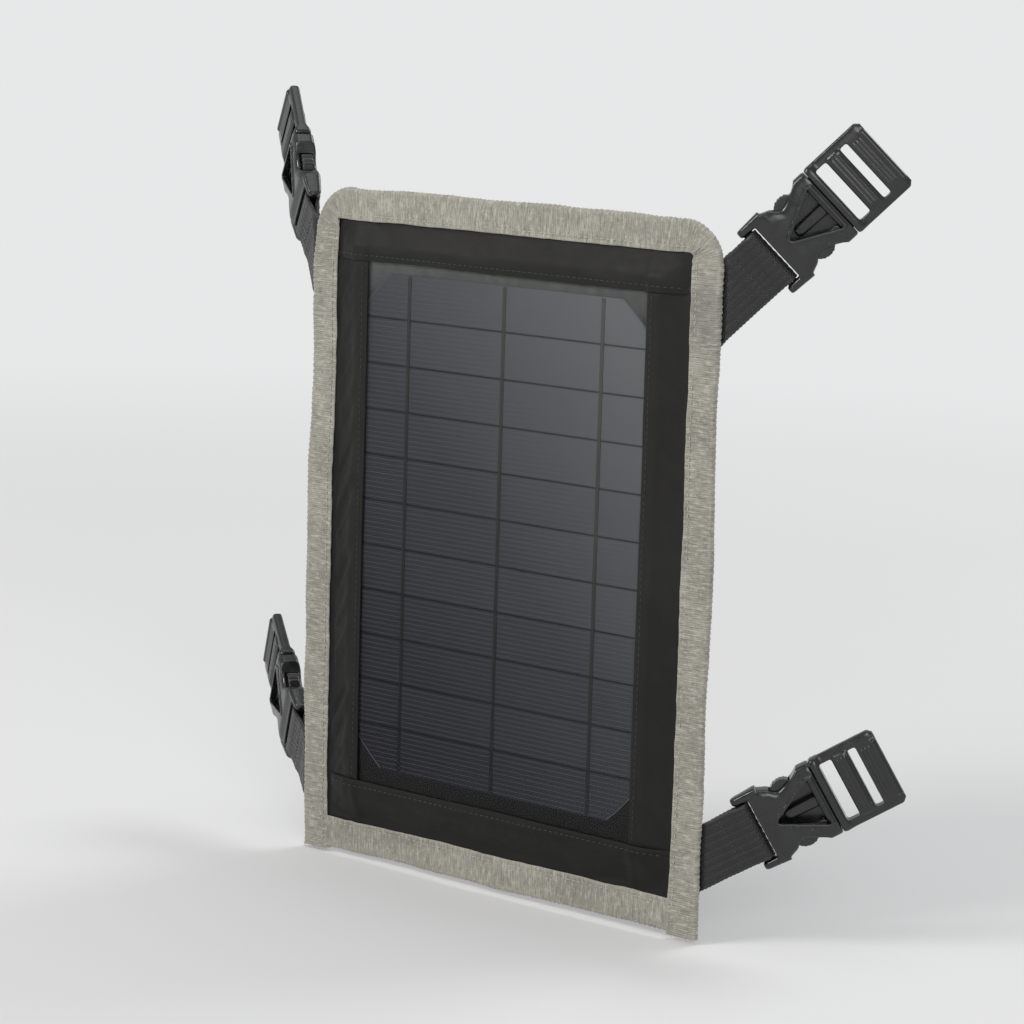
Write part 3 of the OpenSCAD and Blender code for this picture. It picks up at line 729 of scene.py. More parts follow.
def border_y(x, z):
    """Front of the border cloth: level over the laminate, then down to the bound edge."""
    at_side = np.abs(x) - FILM_X > np.maximum(z - FILM_Z1, FILM_Z0 - z)
    t = np.clip(outside(x, z) / np.where(at_side, 11.0, 9.0), 0, 1)
    height = (1 - t) * (0.80 + 0.20 * (1 - t))
    height = np.where(t < 0.08, 1 - 12.4 * t * t, height)
    height = height * (1 - ease(0.85, 1.0, t))
    return EDGE_FRONT + (BORDER_FRONT - EDGE_FRONT) * height


# ---------------------------------------------------------------- stitches


def stitch_mesh(name, segments, radius, thread="black", rides="panel"):
    """Short lengths of thread; segments are (start, end, outward normal)."""
    rings, sides = 7, 7
    along = np.linspace(-1, 1, rings)[:, None]
    girth = np.sqrt(np.clip(1 - np.abs(along) ** 3.2, 0.02, 1))
    angle = np.linspace(0, 2 * PI, sides, endpoint=False)
    lift = radius * (0.75 - 1.5 * np.abs(along) ** 2.6)
    rise = (girth * np.cos(angle) * radius + lift)[..., None]
    spread = (girth * np.sin(angle) * radius)[..., None]
    tube = np.array(tube_faces(rings, sides), dtype=object)
    verts, faces = [], []
    for count, segment in enumerate(segments):
        start, end, outward = (np.asarray(v, float) for v in segment)
        length = np.linalg.norm(end - start)
        way = (end - start) / length
        outward = outward - way * (outward @ way)
        outward /= np.linalg.norm(outward)
        points = (start + end) / 2 + along[..., None] * 0.5 * length * way
        points = points + rise * outward + spread * np.cross(way, outward)
        verts.append(points.reshape(-1, 3))
        first = count * rings * sides
        faces += [[v + first for v in face] for face in tube]
    obj = new_obj(name, np.vstack(verts), faces, MAT["thread_" + thread])
    if rides == "panel":
        warp_obj(obj)
    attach(obj, rides)


def stitch_ends(start, end, pitch, fill):
    """Ends of each stitch along a straight run; fill is the part of the pitch it covers."""
    start, end = np.asarray(start, float), np.asarray(end, float)
    count = max(1, int(round(np.linalg.norm(end - start) / pitch)))
    return [(start + (end - start) * ((i + 0.5 - fill / 2) / count),
             start + (end - start) * ((i + 0.5 + fill / 2) / count)) for i in range(count)]


def laid(start, end, y, facing):
    """A stitch between two (x, z) points on a face of the panel; facing is -1 or 1 in y."""
    return (start[0], y, start[1]), (end[0], y, end[1]), (0, facing, 0)


# ---------------------------------------------------------------- border cloth

HEM = 0.8               # depth of the tucked layer
HEM_STITCH = 2.4        # seam, in from the folded edge
BULGE = 0.35
SEAM_PITCH = 2.9
LAP_X = WIN_X + 1.2     # ridge where a strip crosses the fold of a side border

# distance from the folded edge, depth below the surface
FOLD = [(3.0, HEM), (0.9, HEM), (0.32, HEM * 0.97), (0.08, HEM * 0.8), (0.0, HEM * 0.5),
        (0.06, HEM * 0.22), (0.22, HEM * 0.06), (0.5, 0.0)]


def hem_profile(width):
    """Distances and depths from the tucked side, over the fold and outwards."""
    profile = list(FOLD)
    across = 1.0
    while across < width:
        profile.append((across, 0.0))
        across += 1.0 if across > 3.4 else 0.4
    profile.append((width, 0.0))
    return np.array(profile).T


def hem_groove(across, depth):
    return 0.16 * bell(across - HEM_STITCH, 0.42) * (depth == 0)


def puckers(x, z, side):
    """Gathers that run slantwise over the slope of a side border."""
    out = np.abs(x) - FILM_X
    band = ease(-3.5, 2.5, out) * (1 - ease(8.0, 11.0, out))
    slant = z * 0.80 + np.abs(x) * 1.15
    wave = noise(slant / 7.5, np.abs(x) / 40, 31 + side) + 0.55 * noise(slant / 3.6, 0.0, 37 + side)
    gain = 0.55 + 0.45 * noise(z / 55, 0.5, 41 + side)
    if side < 0:
        size, lower = 1.35, 1 + 0.7 * ease(-30, -110, z)
    else:
        size, lower = 0.70, 1 + 0.6 * ease(-70, -112, z)
    return size * wave * band * gain * lower


def side_border(side):
    across, depth = hem_profile(HALF_W - WIN_X - TAPE_W + 4.0)
    width = across[-1]
    z = np.arange(WIN_Z0 - 7, WIN_Z1 + 7.01, 1.0)
    count = len(across), len(z)
    across, z = np.meshgrid(across, z, indexing="ij")
    depth = depth[:, None]
    wander = 0.22 * noise(z / 38, side, 51)
    x = side * (WIN_X + across + wander * (1 - ease(4, 10, across)))
    top = border_y(x, z)
    bulge = BULGE * ease(0.3, 2.5, across) * (1 - ease(5.5, 8.5, across))
    soft = 0.34 * noise(x / 14, z / 22, 61 + side) * ease(1.5, 5, across)
    soft = soft * (1 - ease(width - 6.5, width - 3.6, across))
    y = top - bulge - puckers(x, z, side) * ease(3.0, 6.5, across) - soft
    y = y + hem_groove(across, depth)
    # pressed down where the top and bottom strips lie over it
    under = np.maximum(ease(WIN_Z1 - 2.5, WIN_Z1 + 1.5, z), ease(WIN_Z0 + 2.5, WIN_Z0 - 1.5, z))
    y = y * (1 - under) + (top + 0.35) * under + depth
    faces = grid_faces(*count)
    if side < 0:
        faces = [face[::-1] for face in faces]
    name = "right" if side > 0 else "left"
    obj = new_obj("border_cloth_" + name, rows(x, y, z), faces, MAT["cloth"], rows(z, across))
    finish_sheet(obj, 0.32, "border_" + name)


def strip_border(side):
    """Top or bottom strip, lying over the ends of the side borders."""
    reach_z = INNER_Z + 3.5
    width = reach_z - WIN_Z1 if side > 0 else WIN_Z0 + reach_z
    across, depth = hem_profile(width)
    reach_x = INNER_X + 3.5
    x = np.concatenate([np.arange(-reach_x, reach_x, 1.25), [reach_x]])
    count = len(across), len(x)
    across, x = np.meshgrid(across, x, indexing="ij")
    depth = depth[:, None]
    wander = 0.30 * noise(x / 44, side, 71)
    edge = WIN_Z1 if side > 0 else WIN_Z0
    z = edge + side * (across + wander * (1 - ease(4, 10, across)))
    far = np.abs(x)
    over = ease(WIN_X - 2.0, WIN_X + 2.5, far)
    free = 1 - ease(INNER_X - 5.5, INNER_X - 0.8, far)              # clear of the side tape
    clear = 1 - ease(width - 6.5, width - 3.6, across)              # clear of this edge's tape
    lift = over * free * 0.75 * (1 - 0.6 * ease(6, 14, across)) * clear
    ridge = 0.30 * bell(far - LAP_X, 1.6) * clear
    wrinkles = 0.42 * noise(x / 17, z / 9, 81 + side) * ease(0.8, 4, across) * clear
    slants = noise((x * 0.9 + z * 1.3 * side) / 12.0, (x - z) / 60, 85 + side)
    wrinkles += 0.85 * slants * ease(3, 7, across) * clear * (0.45 + 0.55 * ease(45, 85, far))
    bulge = BULGE * ease(0.3, 2.5, across) * (1 - ease(5, 7.5, across)) * (0.15 + 0.85 * free)
    y = border_y(x, z) - lift - ridge - bulge - wrinkles * free + hem_groove(across, depth)
    y = y + depth * (0.35 + 0.65 * free) + (1 - free) * 0.10
    faces = grid_faces(*count)
    if side > 0:
        faces = [face[::-1] for face in faces]
    name = "top" if side > 0 else "bottom"
    obj = new_obj("border_cloth_" + name, rows(x, y, z), faces, MAT["cloth"], rows(x, across))
    finish_sheet(obj, 0.32, "border_" + name)


def border_stitches():
    segments = []
    sink = 0.12
    for side in (-1, 1):
        x = side * (WIN_X + HEM_STITCH)
        for a, b in stitch_ends((x, WIN_Z0 + 1.5), (x, WIN_Z1 - 1.5), SEAM_PITCH, fill=0.68):
            y = float(border_y(x, (a[1] + b[1]) / 2)) - BULGE + sink
            segments.append(laid(a, b, y, -1))
    for edge, side in ((WIN_Z1, 1), (WIN_Z0, -1)):
        z = edge + side * HEM_STITCH
        for a, b in stitch_ends((-INNER_X + 1, z), (INNER_X - 1, z), SEAM_PITCH, fill=0.68):
            x = (a[0] + b[0]) / 2
            if abs(x) > INNER_X - 3.5:
                continue
            lift = ease(WIN_X - 2.0, WIN_X + 2.5, abs(x)) * 0.75 + 0.30 * bell(abs(x) - LAP_X, 1.6)
            segments.append(laid(a, b, float(border_y(x, z)) - BULGE - lift + sink, -1))
    stitch_mesh("border_stitches", segments, radius=0.17)


side_border(-1)
side_border(1)
strip_border(1)
strip_border(-1)
border_stitches()

# ---------------------------------------------------------------- binding tape

TAPE_R = (TAPE_BACK - TAPE_FRONT) / 2    # radius of the fold at the outer edge
TAPE_MID = (TAPE_BACK + TAPE_FRONT) / 2
TAPE_STEP = 0.85
CUT_END = 1.1                            # how far the cut ends pass the bottom tape
TAPE_SEAM = 2.2                          # stitches, in from the tape's inner edge
UNDER = 0.32                             # how much the bottom tape lies under the side tapes

# front face near the inner edge: outset from that edge, y behind the tape's front
TAPE_EDGE = [(-0.1, 0.85), (0.12, 0.5), (0, 0.16), (-0.35, 0.02), (-0.8, -0.03), (-1.3, 0.04),
             (-1.8, 0.16), (-2.2, 0.20), (-2.6, 0.14), (-3.2, 0.04)]


def tape_section():
    """(distance in from the outer edge, y): front inner edge, outer fold, back inner edge."""
    front = [(TAPE_W + outset, TAPE_FRONT + y) for outset, y in TAPE_EDGE]
    inward = TAPE_W - 4.2
    while inward > TAPE_R + 1.2:
        front.append((inward, TAPE_FRONT + 0.02))
        inward -= 1.0
    fold = []
    for k in range(11):
        angle = PI * k / 10
        fold.append((TAPE_R * 0.92 - TAPE_R * 0.92 * math.sin(angle),
                     TAPE_MID - TAPE_R * math.cos(angle)))
    back = [(inward, 2 * TAPE_MID - y) for inward, y in front][::-1]
    return np.array(front + fold + back)


# Each path row: outer x, z, inner x, z, outward x, z, part of the way round a corner.


def side_tape_path():
    """Up the left, over the top and down the right; round outside, square inside."""
    path = []
    centre_x, centre_z = HALF_W - CORNER_R, HALF_H - CORNER_R
    rise = 2 * HALF_H - CORNER_R + CUT_END
    rise_count = int(rise / TAPE_STEP)
    level = 2 * HALF_W - 2 * CORNER_R
    level_count = int(level / TAPE_STEP)
    turn_count = int(CORNER_R * PI / 2 / TAPE_STEP) + 2

    def corner(side):
        for k in range(1, turn_count):
            turn = k / turn_count
            angle = (PI if side < 0 else PI / 2) - turn * PI / 2
            out_x, out_z = math.cos(angle), math.sin(angle)
            upward = turn if side < 0 else 1 - turn
            inner_x = INNER_X - (INNER_X - centre_x) * max(0, 2 * upward - 1)
            inner_z = centre_z + (INNER_Z - centre_z) * min(1, 2 * upward)
            path.append((side * centre_x + CORNER_R * out_x, centre_z + CORNER_R * out_z,
                         side * inner_x, inner_z, out_x, out_z, turn))

    for k in range(rise_count + 1):
        z = -HALF_H - CUT_END + rise * k / rise_count
        path.append((-HALF_W, z, -INNER_X, min(z, INNER_Z), -1, 0, 0))
    corner(-1)
    for k in range(level_count + 1):
        x = -centre_x + level * k / level_count
        path.append((x, HALF_H, x, INNER_Z, 0, 1, 0))
    corner(1)
    for k in range(rise_count + 1):
        z = centre_z - rise * k / rise_count
        path.append((HALF_W, z, INNER_X, z, 1, 0, 0))
    return path


def bottom_tape_path():
    reach = INNER_X + 5.5
    xs = np.linspace(reach, -reach, int(2 * reach / TAPE_STEP) + 1)
    return [(x, -HALF_H, x, -HALF_H + TAPE_W, 0, -1, 0) for x in xs]


def build_tape(part, path, seed, under=0.0):
    outer_x, outer_z, inner_x, inner_z, out_x, out_z, turn = np.array(path).T[:, :, None]
    section = tape_section()
    inward, y = section.T
    inset = np.clip(inward / TAPE_W, -0.2, 1.05)
    x = outer_x * (1 - inset) + inner_x * inset
    z = outer_z * (1 - inset) + inner_z * inset
    facing = np.where(y < TAPE_MID, -1.0, 1.0)
    flat = ease(0.1, 0.3, inset)
    along = (np.arange(len(path)) * TAPE_STEP)[:, None]
    # ribs that stand at the outer fold, a rippled face and a wandering inner edge
    rib = np.sin(2 * PI * along / 2.35 + 2.0 * noise(along / 11, 0.0, seed))
    edge = bell(inset, 0.16)
    grow = 0.35 + 0.65 * (0.5 + 0.5 * noise(along / 36, 1.5, seed + 1))
    push = edge * grow * (0.34 * rib + 0.24 * noise(along / 5.0, 0.0, seed + 2))
    push = push + edge * 0.35 * noise(along / 19.0, 2.0, seed + 3)
    ripple = 0.17 * noise(along / 6.5, inward / 9.0, seed + 4)
    ripple += 0.12 * noise(along / 2.6, inward / 5, seed + 5)
    ripple += 0.20 * noise(along / 24, inward / 20, seed + 6)
    wander = 0.28 * noise(along / 13, 3.0, seed + 7) + 0.12 * noise(along / 4, 4.0, seed + 8)
    push = push - bell(inset - 1, 0.10) * wander
    # soft scallops between the stitches
    pull = 0.10 * bell(inward - (TAPE_W - TAPE_SEAM), 1.3) * np.cos(2 * PI * along / SEAM_PITCH)
    # the gathered fold across each rounded corner
    past = turn - (0.50 + 0.08 * (1 - inset))
    crease = 0.75 * bell(np.clip(past, 0, None), 0.035) * bell(np.clip(-past, 0, None), 0.16)
    crease = crease * (0.35 + 0.65 * inset)
    folds = 0.30 * np.sin(turn * PI) * np.sin(turn * 24 + 2 * inset) * (0.3 + 0.7 * inset)
    crease = (turn > 0) * (crease + folds)
    y = y + facing * flat * (ripple + crease + pull - under)
    obj = new_obj("binding_tape_" + part, rows(x + out_x * push, y, z + out_z * push),
                  grid_faces(len(path), len(section)), MAT["tape"],
                  rows(along, distances(section)))
    finish_sheet(obj, 0.42, "binding_" + part)


def tape_stitches():
    segments = []
    x, z = INNER_X + TAPE_SEAM, INNER_Z + TAPE_SEAM
    # start, end, depth under the tape's faces
    seams = [((-x, -HALF_H + 2), (-x, z), 0), ((-x, z), (x, z), 0), ((x, z), (x, -HALF_H + 2), 0),
             ((INNER_X + 1.5, -z), (-INNER_X - 1.5, -z), UNDER)]
    for facing, y in ((-1, TAPE_FRONT + 0.10), (1, TAPE_BACK - 0.10)):
        for start, end, sink in seams:
            for a, b in stitch_ends(start, end, SEAM_PITCH, fill=0.70):
                segments.append(laid(a, b, y - facing * sink, facing))
    # short bar across each end of the side tapes
    bar_z = -HALF_H + 2.2
    for side in (-1, 1):
        start, end = (side * (INNER_X + 2.4), bar_z), (side * (HALF_W - 2.6), bar_z)
        for a, b in stitch_ends(start, end, pitch=2.6, fill=0.7):
            segments.append(laid(a, b, TAPE_FRONT + 0.06, -1))
    stitch_mesh("binding_stitches", segments, 0.24, thread="grey")


def frayed_ends():
    """Loose yarns at the cut ends of the side tapes."""
    segments = []
    random = np.random.RandomState(7)
    z = -HALF_H - 0.7
    for side in (-1, 1):
        for _ in range(26):
            x = side * (HALF_W - 0.8 - random.rand() * (TAPE_W - 1.4))
            y = TAPE_FRONT + 0.2 if random.rand() < 0.6 else TAPE_BACK - 0.2
            length = 0.5 + 1.1 * random.rand() ** 2
            end_x = x + (random.rand() - 0.5) * 0.9
            end_y = y + (random.rand() - 0.5) * 0.5
            segments.append(((x, y, z + 0.5), (end_x, end_y, z - length), (0, -1, 0)))
    stitch_mesh("binding_frayed_ends", segments, 0.09, thread="grey")


build_tape("sides", side_tape_path(), seed=101)
build_tape("bottom", bottom_tape_path(), seed=131, under=UNDER)
tape_stitches()
frayed_ends()

# ---------------------------------------------------------------- back cover


def cover_lines(reach, hole, outer_count, hole_count):
    """Grid positions that fall on the edges of the opening."""
    return np.unique(np.round(np.concatenate([
        np.linspace(-reach, -hole, outer_count), np.linspace(-hole, hole, hole_count),
        np.linspace(hole, reach, outer_count)]), 4))


def back_cover():
    xs = cover_lines(INNER_X + 4, HOLE_X, 44, 26)
    zs = cover_lines(INNER_Z + 4, HOLE_Z, 60, 18)
    x, z = np.meshgrid(xs, zs, indexing="ij")
    out = outside(x, z)
    from_hole = np.maximum(np.abs(x) - HOLE_X, np.abs(z) - HOLE_Z)
    free = ease(1.0, 12.0, from_hole) * (1 - ease(8, 14, out))
    soft = 0.42 * noise(x / 42, z / 42, 201) + 0.22 * noise(x / 15, z / 19, 203)
    pad = -0.35 * (1 - ease(-3, 3, out))
    # drawn lines towards the tabs
    lines = np.zeros_like(x)
    for side in (-1, 1):
        for tab_z, degrees in zip(TAB_HEIGHTS, (45.0, 30.0)):
            angle = math.radians(degrees)
            way_x, way_z = math.cos(angle), math.sin(angle)
            dx, dz = side * (x - side * 111), z - tab_z
            along = dx * way_x + dz * way_z
            across = dz * way_x - dx * way_z
            creases = np.cos(across / 3.2 + 0.6 * noise(x / 20, z / 20, 7))
            lines += 0.34 * bell(along + 62, 26) * creases * bell(across, 22)
    y = COVER_BACK + 0.02 + free * (soft * 0.7 + lines + pad * 0.6)
    y = y + 0.42 * bell(from_hole - 1.0, 0.9)
    n, m = x.shape
    faces = np.array([
        (i * m + j, i * m + j + 1, (i + 1) * m + j + 1, (i + 1) * m + j)
        for i in range(n - 1) for j in range(m - 1)
        if abs(xs[i] + xs[i + 1]) >= 2 * HOLE_X or abs(zs[j] + zs[j + 1]) >= 2 * HOLE_Z])
    used = np.zeros(n * m, bool)
    used[faces.ravel()] = True
    faces = (np.cumsum(used) - 1)[faces]
    obj = new_obj("back_cloth", rows(x, y, z)[used], faces, MAT["cloth"], rows(x, z)[used])
    finish_sheet(obj, 0.6, "back_cover")


def back_stitches():
    """Two rows of stitches round the opening."""
    segments = []
    for offset in (3.2, 5.6):
        x, z = HOLE_X + offset, HOLE_Z + offset
        corners = [(-x, -z), (x, -z), (x, z), (-x, z)]
        for start, end in zip(corners, corners[1:] + corners[:1]):
            for a, b in stitch_ends(start, end, pitch=2.8, fill=0.7):
                segments.append(laid(a, b, COVER_BACK + 0.06, 1))
    stitch_mesh("back_stitches", segments, radius=0.2)


back_cover()
back_stitches()

# ---------------------------------------------------------------- laminate


def film_lines(start, end, count):
    return np.unique(np.concatenate([
        [start, start + 0.15, start + 0.5], np.linspace(start + 1, end - 1, count),
        [end - 0.5, end - 0.15, end]]))


def film():
    """Thin clear slab with a rounded front edge and a very slight unevenness."""
    x, z = np.meshgrid(film_lines(-FILM_X, FILM_X, 60), film_lines(FILM_Z0, FILM_Z1, 88),
                       indexing="ij")
    inset = np.minimum(np.minimum(x + FILM_X, FILM_X - x), np.minimum(z - FILM_Z0, FILM_Z1 - z))
    edge = 0.30 * (1 - ease(0, 0.5, inset))
    over_ribbons = sum(0.012 * bell(x - ribbon, 1.6) for ribbon in RIBBONS)
    y = FILM_FRONT + edge - over_ribbons + 0.06 * noise(x / 34, z / 34, 301)
    n, m = x.shape
    count = n * m
    faces = grid_faces(n, m) + [face[::-1] for face in grid_faces(n, m, first=count)]
    ring = [i * m for i in range(n)] + [(n - 1) * m + j for j in range(1, m)]
    ring += [i * m + m - 1 for i in range(n - 2, -1, -1)] + list(range(m - 2, 0, -1))
    for a, b in zip(ring, ring[1:] + ring[:1]):
        faces.append((a, b, b + count, a + count))
    verts = np.vstack([rows(x, y, z), rows(x, CELL_FRONT - 0.26, z)])
    obj = new_obj("clear_film", verts, faces, MAT["film"])
    recalc(obj)
    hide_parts("front_film")
    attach(obj, "panel")


def bars(name, quads, height, material):
    """Thin bars on the cells: each quad is four (x, z) corners in order."""
    front, back = CELL_FRONT - height, CELL_FRONT + 0.01
    verts, faces = [], []
    for quad in quads:
        k = len(verts)
        verts += [(x, front, z) for x, z in quad] + [(x, back, z) for x, z in quad]
        faces += [(k + 3, k + 2, k + 1, k), (k + 4, k + 5, k + 6, k + 7)]
        for i in range(4):
            j = (i + 1) % 4
            faces.append((k + i, k + j, k + 4 + j, k + 4 + i))
    obj = new_obj(name, verts, faces, material, smooth=False)
    recalc(obj)
    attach(obj, "panel")


STRIP_GAP = 0.9
STRIP_H = STRIP_PITCH - STRIP_GAP
WAFER_R = 100.0
FINGERS = 9                              # per strip
ARRAY_Z0 = (CELL_Z0 + CELL_Z1) / 2 - STRIP_COUNT * STRIP_PITCH / 2
END_STRIPS = (0, STRIP_COUNT - 1)        # these two have the wafer's rounded corners


def strip_place(k):
    """Bottom of a strip, and the middle of the wafer an end strip was cut from."""
    bottom = ARRAY_Z0 + k * STRIP_PITCH + STRIP_GAP / 2
    return bottom, bottom + CELL_X if k == 0 else bottom + STRIP_H - CELL_X


def printed_fingers():
    quads = []
    half, clear, ribbon_clear = 0.055, 1.3, 1.0
    for k in range(STRIP_COUNT):
        bottom, centre = strip_place(k)
        for i in range(FINGERS):
            z = bottom + STRIP_H * (i + 0.5) / FINGERS
            reach = CELL_X - 1.2
            radius = WAFER_R - clear
            if k in END_STRIPS and abs(z - centre) < radius:
                reach = min(reach, math.sqrt(radius * radius - (z - centre) ** 2))
            # broken at the ribbons
            stops = [-reach]
            for ribbon in RIBBONS:
                stops += [ribbon - ribbon_clear, ribbon + ribbon_clear]
            stops.append(reach)
            for a, b in zip(stops[::2], stops[1::2]):
                if b > a:
                    quads.append([(a, z - half), (b, z - half), (b, z + half), (a, z + half)])
    bars("printed_fingers", quads, 0.035, MAT["finger"])


def wafer_corner_edges():
    quads = []
    width = 0.42
    for k in END_STRIPS:
        bottom, centre = strip_place(k)
        for side in (-1, 1):
            before = None
            for z in np.linspace(bottom + 0.3, bottom + STRIP_H - 0.3, 40):
                if abs(z - centre) >= WAFER_R - 0.2:
                    continue
                x = math.sqrt((WAFER_R - 0.25) ** 2 - (z - centre) ** 2)
                if x > CELL_X - 0.2:
                    before = None
                    continue
                if before is not None:
                    px, pz = before
                    dx, dz = (px + x) / 2, (pz + z) / 2 - centre
                    length = math.hypot(dx, dz)
                    dx, dz = dx / length * width, dz / length * width
                    quads.append([(side * px, pz), (side * x, z),
                                  (side * (x - dx), z - dz), (side * (px - dx), pz - dz)])
                before = (x, z)
    bars("wafer_corner_edges", quads, 0.045, MAT["edge"])


film()
printed_fingers()
wafer_corner_edges()

# ---------------------------------------------------------------- webbing tabs
# A tab's own axes are along the webbing, depth through it and across it.

WEB_W = 25.0
WEB_T = 1.4
BAR_R = 2.0


def axes(first, second, third, origin):
    table = [(first[i], second[i], third[i], origin[i]) for i in range(3)]
    return Matrix((*table, (0, 0, 0, 1)))


def read_tab(name):
    swivel = JOINTS["swivel_" + name]
    side = 1 if name.endswith("right") else -1
    origin = Vector(JOINTS["fold_" + name]["pos_m"]) * 1000
    along = Vector(JOINTS["plug_slide_" + name]["axis"])
    across = Vector(swivel["axis"]) * side
    depth = across.cross(along) * side
    level = math.hypot(along.x, along.y)
    # the sewn end lies flat behind the panel
    flat_along = Vector((side * level, 0, along.z)).normalized()
    flat_across = Vector((-side * along.z, 0, level)).normalized()
    return SimpleNamespace(
        side=side, origin=origin, depth=depth,
        bent=axes(along, depth, across, origin),
        sewn=axes(flat_along, (0, 1, 0), flat_across, origin),
        bar=(Vector(swivel["pos_m"]) * 1000 - origin).length,
        slope=math.atan2(along.z, level), bend=math.atan2(along.y, abs(along.x)))


def web_line(bar):
    """Centre line (along, depth): sewn end, out past the fold, round the bar and back."""
    wrap = BAR_R + 0.06 + WEB_T / 2
    seam = bar - 6.0
    sewn = np.r_[np.arange(-41.5, -4, 1.5), np.arange(-4, 5, 0.6)]
    out = np.linspace(0, 1, 14)
    near = np.arange(1, 8) / 8
    angle = -PI / 2 - 0.30 + (PI + 0.60) * np.arange(19) / 18
    loop_along, loop_depth = bar + wrap * np.cos(angle), wrap * np.sin(angle)
    leave = np.arange(1, 7) / 7
    back = np.linspace(0, 1, 15)
    return np.hstack([
        (sewn, 0 * sewn),
        (5 + (seam - 5) * out, -0.78 * ease(0, 0.45, out) - 0.75 * ease(0.55, 1.0, out)),
        (seam + (bar - 1.2 - seam) * near, -1.53 + (1.53 - wrap * 0.96) * near * (2 - near)),
        (loop_along, loop_depth),
        (loop_along[-1] + (seam - loop_along[-1]) * leave,
         1.5 + (loop_depth[-1] - 1.5) * (1 - leave) ** 2),
        (seam + (4.2 - seam) * back, 1.5 - 0.72 * ease(0, 0.5, back))]).T


def resample(points, step):
    """Even points along a line, and the distance of each."""
    far = distances(points)
    keep = np.r_[True, np.diff(far) > 1e-6]
    points, far = points[keep], far[keep]
    even = np.linspace(0, far[-1], int(far[-1] / step) + 1)
    return np.stack([np.interp(even, far, points[:, i]) for i in (0, 1)], -1), even


WEB_HALF_W, WEB_HALF_T = WEB_W / 2 - 0.25, WEB_T / 2 - 0.05


def web_section():
    """(across, thickness) round the webbing, with rounded edges."""
    flat = np.linspace(-WEB_HALF_W, WEB_HALF_W, 27)
    section = []
    for side in (1, -1):
        section += [(across, side * WEB_HALF_T) for across in flat[::side]]
        for k in range(1, 4):
            angle = side * PI / 2 - PI * k / 4
            section.append((side * WEB_HALF_W + 0.24 * math.cos(angle),
                            WEB_HALF_T * math.sin(angle)))
    return np.array(section)


def pressed(x, z):
    """How far the sewn end sinks once it is past the tape's inner edge."""
    inset = np.minimum(INNER_X - np.abs(x), INNER_Z - np.abs(z))
    return 0.78 * ease(-0.5, 3.0, inset)


def webbing(name, tab):
    line, length = resample(web_line(tab.bar), step=0.55)
    for _ in range(3):
        line[1:-1] = line[1:-1] * 0.5 + (line[:-2] + line[2:]) * 0.25
    tangent = np.gradient(line, axis=0)
    tangent /= np.linalg.norm(tangent, axis=1)[:, None]
    across, thick = web_section().T
    length = length[:, None]
    # woven relief: ribs across, cords lengthwise, edges a little scalloped
    zigzag = 0.9 * np.abs(((across / 1.55) % 2) - 1) * 1.55
    relief = 0.055 * np.sin(2 * PI * (length + zigzag) / 2.3)
    relief = relief + 0.05 * np.cos(2 * PI * across / 3.1)
    thick = thick + np.sign(thick) * relief * (np.abs(thick) > WEB_HALF_T * 0.9)
    scallop = 0.12 * np.sin(2 * PI * length / 1.9)
    across = across + np.sign(across) * (np.abs(across) > WEB_HALF_W) * scallop
    cup = 0.22 * (across / 12.5) ** 2 * np.sin(np.clip(length - 45, 0, 12) / 12 * PI)
    lift = thick + cup
    lift[[0, -1]] = thick[[0, -1]] * 0.65            # thinner at both ends
    along = line[:, :1] + tangent[:, 1:] * lift
    depth = line[:, 1:] - tangent[:, :1] * lift
    # flat behind the panel, turned about the fold line beyond it
    cos_slope, sin_slope = math.cos(tab.slope), math.sin(tab.slope)
    past = along * cos_slope - across * sin_slope
    angle = tab.bend * ease(-2.2, 2.2, past)
    x = tab.origin.x + tab.side * (past * np.cos(angle) - depth * np.sin(angle))
    y = tab.origin.y + past * np.sin(angle) + depth * np.cos(angle)
    z = tab.origin.z + along * sin_slope + across * cos_slope
    points = rows(x, y - pressed(x, z), z)
    # the sewn end shares the panel's unevenness
    sewn = (1 - ease(-9, -1, past)).reshape(-1, 1)
    points = points * (1 - sewn) + warp(points) * sewn
    obj = new_obj("webbing_" + name, points, tube_faces(*across.shape), MAT["web"],
                  rows(length, across + 20 + 30 * (thick > 0)))
    recalc(obj)
    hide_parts("tab_anchor_" + name, "tab_loop_" + name)
    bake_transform(obj)


def box_stitches(name, tab):
    """Box and cross sewn through the panel."""
    def sewn_point(along, across):
        point = tab.sewn @ Vector((along, WEB_T / 2 + 0.05, across))
        return point.x, point.y - float(pressed(point.x, point.z)), point.z

    start, end, half = -38.5, -17.0, 9.6
    a, b, c, d = (start, -half), (end, -half), (end, half), (start, half)
    segments = []
    for first, last in ((a, b), (b, c), (c, d), (d, a), (a, c), (d, b)):
        for p, q in stitch_ends(first, last, pitch=2.4, fill=0.74):
            segments.append((sewn_point(*p), sewn_point(*q), (0, 1, 0)))
    stitch_mesh("tab_box_stitch_" + name, segments, 0.26)


def loop_stitches(name, tab):
    """Two rows across, closing the loop round the bar."""
    segments = []
    for along in (tab.bar - 8.6, tab.bar - 10.8):
        for side in (-1, 1):
            for p, q in stitch_ends((along, -11.4), (along, 11.4), pitch=2.2, fill=0.74):
                ends = [tuple(tab.bent @ Vector((u, side * 1.47, v))) for u, v in (p, q)]
                segments.append((*ends, tuple(tab.depth * side)))
    stitch_mesh("tab_loop_stitch_" + name, segments, 0.24,
                rides="tab_" + name)


TABS = {name: read_tab(name)
        for name in ("upper_right", "upper_left", "lower_right", "lower_left")}
for name, tab in TABS.items():
    webbing(name, tab)
    box_stitches(name, tab)
    loop_stitches(name, tab)

# ---------------------------------------------------------------- side-release buckles
# Points are (along, depth, across) from the middle of the socket's bar.

